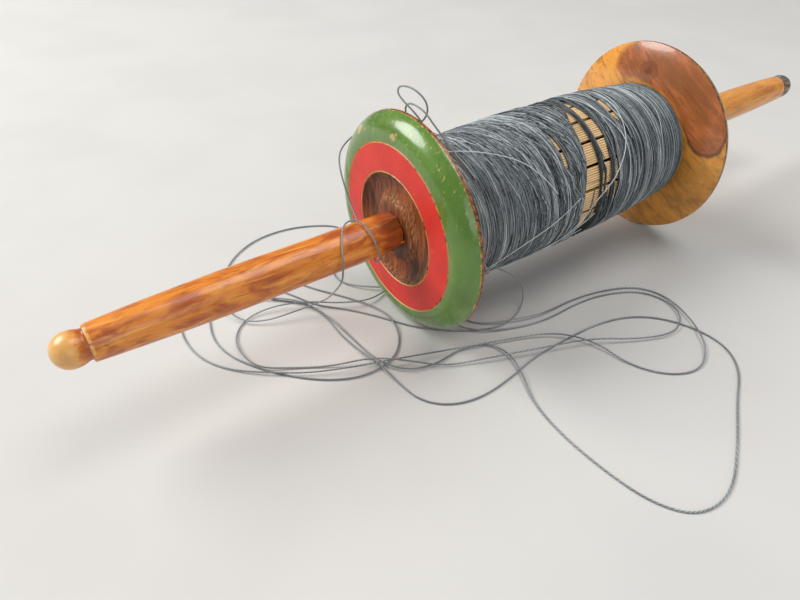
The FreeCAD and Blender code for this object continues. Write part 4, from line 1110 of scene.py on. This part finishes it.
class REEL_OT_winding(bpy.types.Operator):
    """Wind the thread on the drum in level turns and slanting ones"""
    bl_idname = "reel.winding"
    bl_label = "Wound thread"
    # Strays lie on top and are kept to the lighter tones, as painted light.
    BRIGHT_FROM = 0.72      # darkest shade of a stray strand

    def execute(self, context):
        self.thread = context.scene.thread
        random.seed(11)
        count = self.thread.slanting_count
        # The last number of each piece is its painted shade by depth: lower layers are painted darker, the strays
        # on top lighter.
        self.piece("winding_lowest", self.level_turns(
            0.66, 0.06, 0.2, -WOUND_HALF, WOUND_HALF, (0.0, 0.1), 40), 0.9)
        self.piece("winding_level", self.level_turns(
            0.66, 0.20, 1.6, -WOUND_HALF, WOUND_HALF, (0.45, 0.85), 44), 0.5)
        self.piece("winding_rear", self.level_turns(0.48, 0.14, 1.5, 20, 81.6, (0.80, 1.0), 44), 0.0)
        self.piece("winding_slanting_low", self.slanting_turns(count, 0.8, 1.9), 0.6)
        self.piece("winding_slanting", self.slanting_turns(count, 0.0, 0.9), 0.0)
        self.piece("winding_stray", self.stray_strands(), -0.3)
        return {"FINISHED"}

    def radius_at(self, x, angle, depth, share=1.0):
        """Between the slats, at share 0, and the outside of the winding less depth in millimetres, at share 1."""
        half = self.thread.wound_diameter / 2
        low = slat_outside(x * MM) + half
        share *= 0.12 + 0.88 * beside_gap(x, angle) ** 0.7
        high = max(low, winding_outside(x * MM) - half - depth * MM)
        return low + (high - low) * share

    def level_turns(self, pitch, jitter, sway, first, last, levels, steps):
        """Turns that lie almost square to the drum. A turn's own sway keeps it from lying dead level."""
        strands = []
        x = first + 0.5
        phase = random.random() * 6
        while x < last - 0.5:
            phase += random.uniform(-0.6, 0.6)
            reach = sway * random.uniform(0.2, 1.0)
            begin = random.uniform(0, 360)
            ripple = random.uniform(0, 6.28)
            level = random.uniform(*levels)
            line = []
            for step in range(steps + 1):
                angle = begin + 366 * step / steps
                turn = math.radians(angle)
                at = x + reach * math.sin(turn + phase) + pitch * step / steps + 0.2 * math.sin(3 * turn + ripple)
                line.append((min(81.7, max(-81.7, at)), angle))
            points = []
            for at, (_, angle) in zip(keep_clear(line), line):
                out = self.radius_at(at, angle, 0, level) + 0.00007 * math.sin(math.radians(5 * angle) + ripple)
                points.append(on_drum(at, angle, out))
            strands.append(points)
            x += pitch + random.uniform(-jitter, jitter)
        return strands

    def slanting_turns(self, count, shallowest, deepest):
        """Turns wound in a slanting plane: furthest from the front disc at the near side of the drum."""
        strands = []
        for number in range(count):
            near = -79 + 92 * ((number * 0.618034) % 1) ** 0.9
            slant = min(31, random.uniform(0.12, 0.50) * (near + 81.5) * random.uniform(0.55, 1.0))
            far_turn = math.radians(random.gauss(98, 13))
            begin = random.uniform(150, 330)
            span = random.uniform(230, 372)
            steps = int(span / 8)
            drift = random.uniform(-2.5, 2.5)
            depth = random.uniform(shallowest, deepest)
            ripple = random.uniform(0, 6.28)
            line = []
            for step in range(steps + 1):
                angle = begin + span * step / steps
                turn = math.radians(angle)
                at = near - slant * (1 - math.cos(turn - far_turn)) + drift * (step / steps - 0.5)
                at += 0.3 * math.sin(4 * turn + ripple)
                line.append((min(81.7, max(-81.8, at)), angle))
            points = []
            for step, (at, (_, angle)) in enumerate(zip(keep_clear(line), line)):
                end = min(step, steps - step)
                sunk = depth + (1.4 if end == 0 else 0.6 if end == 1 else 0)
                out = self.radius_at(at, angle, sunk) + 0.00014 * math.sin(math.radians(3 * angle) + ripple)
                points.append(on_drum(at, angle, out))
            strands.append(points)
        return strands

    def stray_strands(self):
        """The strand that leaves for the loose thread, strands across the gaps and the fringe by the front disc."""
        leaving = [(38, -2), (36.8, 24), (30, 52), (18, 73), (3.3, 88), (-1.9, 97), (-7.1, 106), (-15.9, 117),
                   (-27.5, 126), (-37.7, 134), (-44.8, 135), (-50, 135.5)]
        strands = [self.smooth_strand(leaving, lambda share: 0.7)]
        for path, height in (([(-80.5, -36), (-76, -27), (-69, -20), (-63, -17)], 4.2),
                             ([(-80, 4), (-62, 18), (-40, 40), (-24, 70)], 0.9),
                             ([(-66, 120), (-48, 104), (-26, 92), (-8, 80)], 0.8),
                             ([(-70, 128), (-55, 132), (-30, 124), (-12, 116), (6, 100)], 0.7),
                             ([(-62, 138), (-40, 130), (-18, 121), (2, 116)], 0.8),
                             ([(-76, 100), (-71, 118), (-68, 134), (-70, 150)], 1.6),
                             ([(-74, 96), (-66, 116), (-60, 130), (-62, 146)], 1.3),
                             ([(20, -10), (24, 20), (31, 50), (30, 84)], 0.5),
                             ([(44, -12), (40, 24), (42, 60), (37, 96)], 0.4),
                             ([(62, -10), (66, 30), (61, 64), (64, 100)], 0.4)):
            strands.append(self.smooth_strand(
                path, lambda share, height=height: height * math.sin(share * math.pi)))
        return strands

    def smooth_strand(self, path, lift):
        """A strand through (x, angle) places, lifted off the winding by lift in millimetres."""
        places = np.array(path, float)
        points = []
        for share in np.linspace(0, 1, 9 * (len(places) - 1) + 1):
            at = share * (len(places) - 1)
            spans = [self.between(places[:, column], at) for column in (0, 1)]
            out = winding_outside(spans[0] * MM) + (lift(share) - 0.1) * MM
            points.append(on_drum(spans[0], spans[1], out))
        return points

    @staticmethod
    def between(values, at):
        """Catmull-Rom value between the places of a path."""
        left = min(int(at), len(values) - 2)
        t = at - left
        a, b = values[max(0, left - 1)], values[left]
        c, d = values[left + 1], values[min(len(values) - 1, left + 2)]
        return float(b + 0.5 * t * (c - a + t * (2 * a - 5 * b + 4 * c - d + t * (3 * (b - c) + d - a))))

    def piece(self, name, strands, depth_shade):
        """Makes one mesh of thread from many strands and gives each strand a shade of its own."""
        clear_selection()
        line = bpy.data.curves.new(name, "CURVE")
        line.dimensions = "3D"
        for points in strands:
            spline = line.splines.new("POLY")
            spline.points.add(len(points) - 1)
            for point, place in zip(spline.points, points):
                point.co = (*place, 1)
        line.bevel_depth = self.thread.wound_diameter / 2
        line.bevel_resolution = 0
        holder = bpy.data.objects.new(name, line)
        bpy.context.collection.objects.link(holder)
        take(holder)
        bpy.ops.object.convert(target="MESH")
        piece = named(name)
        bpy.ops.object.shade_smooth()
        rings = [len(points) for points in strands]
        round_count = len(piece.data.vertices) / sum(rings)
        if round_count != int(round_count):
            raise RuntimeError("%s: the strands' tubes are not all alike" % name)
        lowest = self.BRIGHT_FROM if depth_shade < 0 else 0.0
        lanes = [random.uniform(lowest, 1) for _ in strands]
        shades = np.repeat(lanes, [int(round_count) * count for count in rings])
        lane = piece.data.attributes.new("strand", "FLOAT", "POINT")
        lane.data.foreach_set("value", shades.astype(np.float32))
        piece.data.materials.clear()
        piece.data.materials.append(thread_finish(name, depth_shade))
        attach(piece, "reel")
        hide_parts("thread_winding")


# ------------------------------------------------------------------ panel and registration
OPERATORS = [REEL_OT_studio, REEL_OT_loose_thread, REEL_OT_discs, REEL_OT_handles, REEL_OT_drum, REEL_OT_winding]
SETTINGS = {"disc": DiscSettings, "handle": HandleSettings, "drum": DrumSettings, "thread": ThreadSettings,
            "studio": StudioSettings}


class REEL_PT_panel(bpy.types.Panel):
    """Lists the reel's pieces and their settings"""
    bl_idname = "REEL_PT_panel"
    bl_label = "Kite-string reel"
    bl_space_type = "VIEW_3D"
    bl_region_type = "UI"
    bl_category = "Kite reel"

    def draw(self, context):
        for operator in OPERATORS:
            self.layout.operator(operator.bl_idname)
        for name, group in SETTINGS.items():
            box = self.layout.box()
            box.label(text=name.capitalize())
            for setting in group.__annotations__:
                box.prop(getattr(context.scene, name), setting)


def register():
    for item in list(SETTINGS.values()) + OPERATORS + [REEL_PT_panel]:
        bpy.utils.register_class(item)
    for name, group in SETTINGS.items():
        setattr(bpy.types.Scene, name, PointerProperty(type=group))


def unregister():
    for name in SETTINGS:
        delattr(bpy.types.Scene, name)
    for item in reversed(list(SETTINGS.values()) + OPERATORS + [REEL_PT_panel]):
        bpy.utils.unregister_class(item)


def main():
    register()
    bpy.ops.reel.studio()
    bpy.ops.reel.loose_thread()
    bpy.ops.reel.discs()
    bpy.ops.reel.handles()
    bpy.ops.reel.drum()
    bpy.ops.reel.winding()


if __name__ == "__main__":
    main()
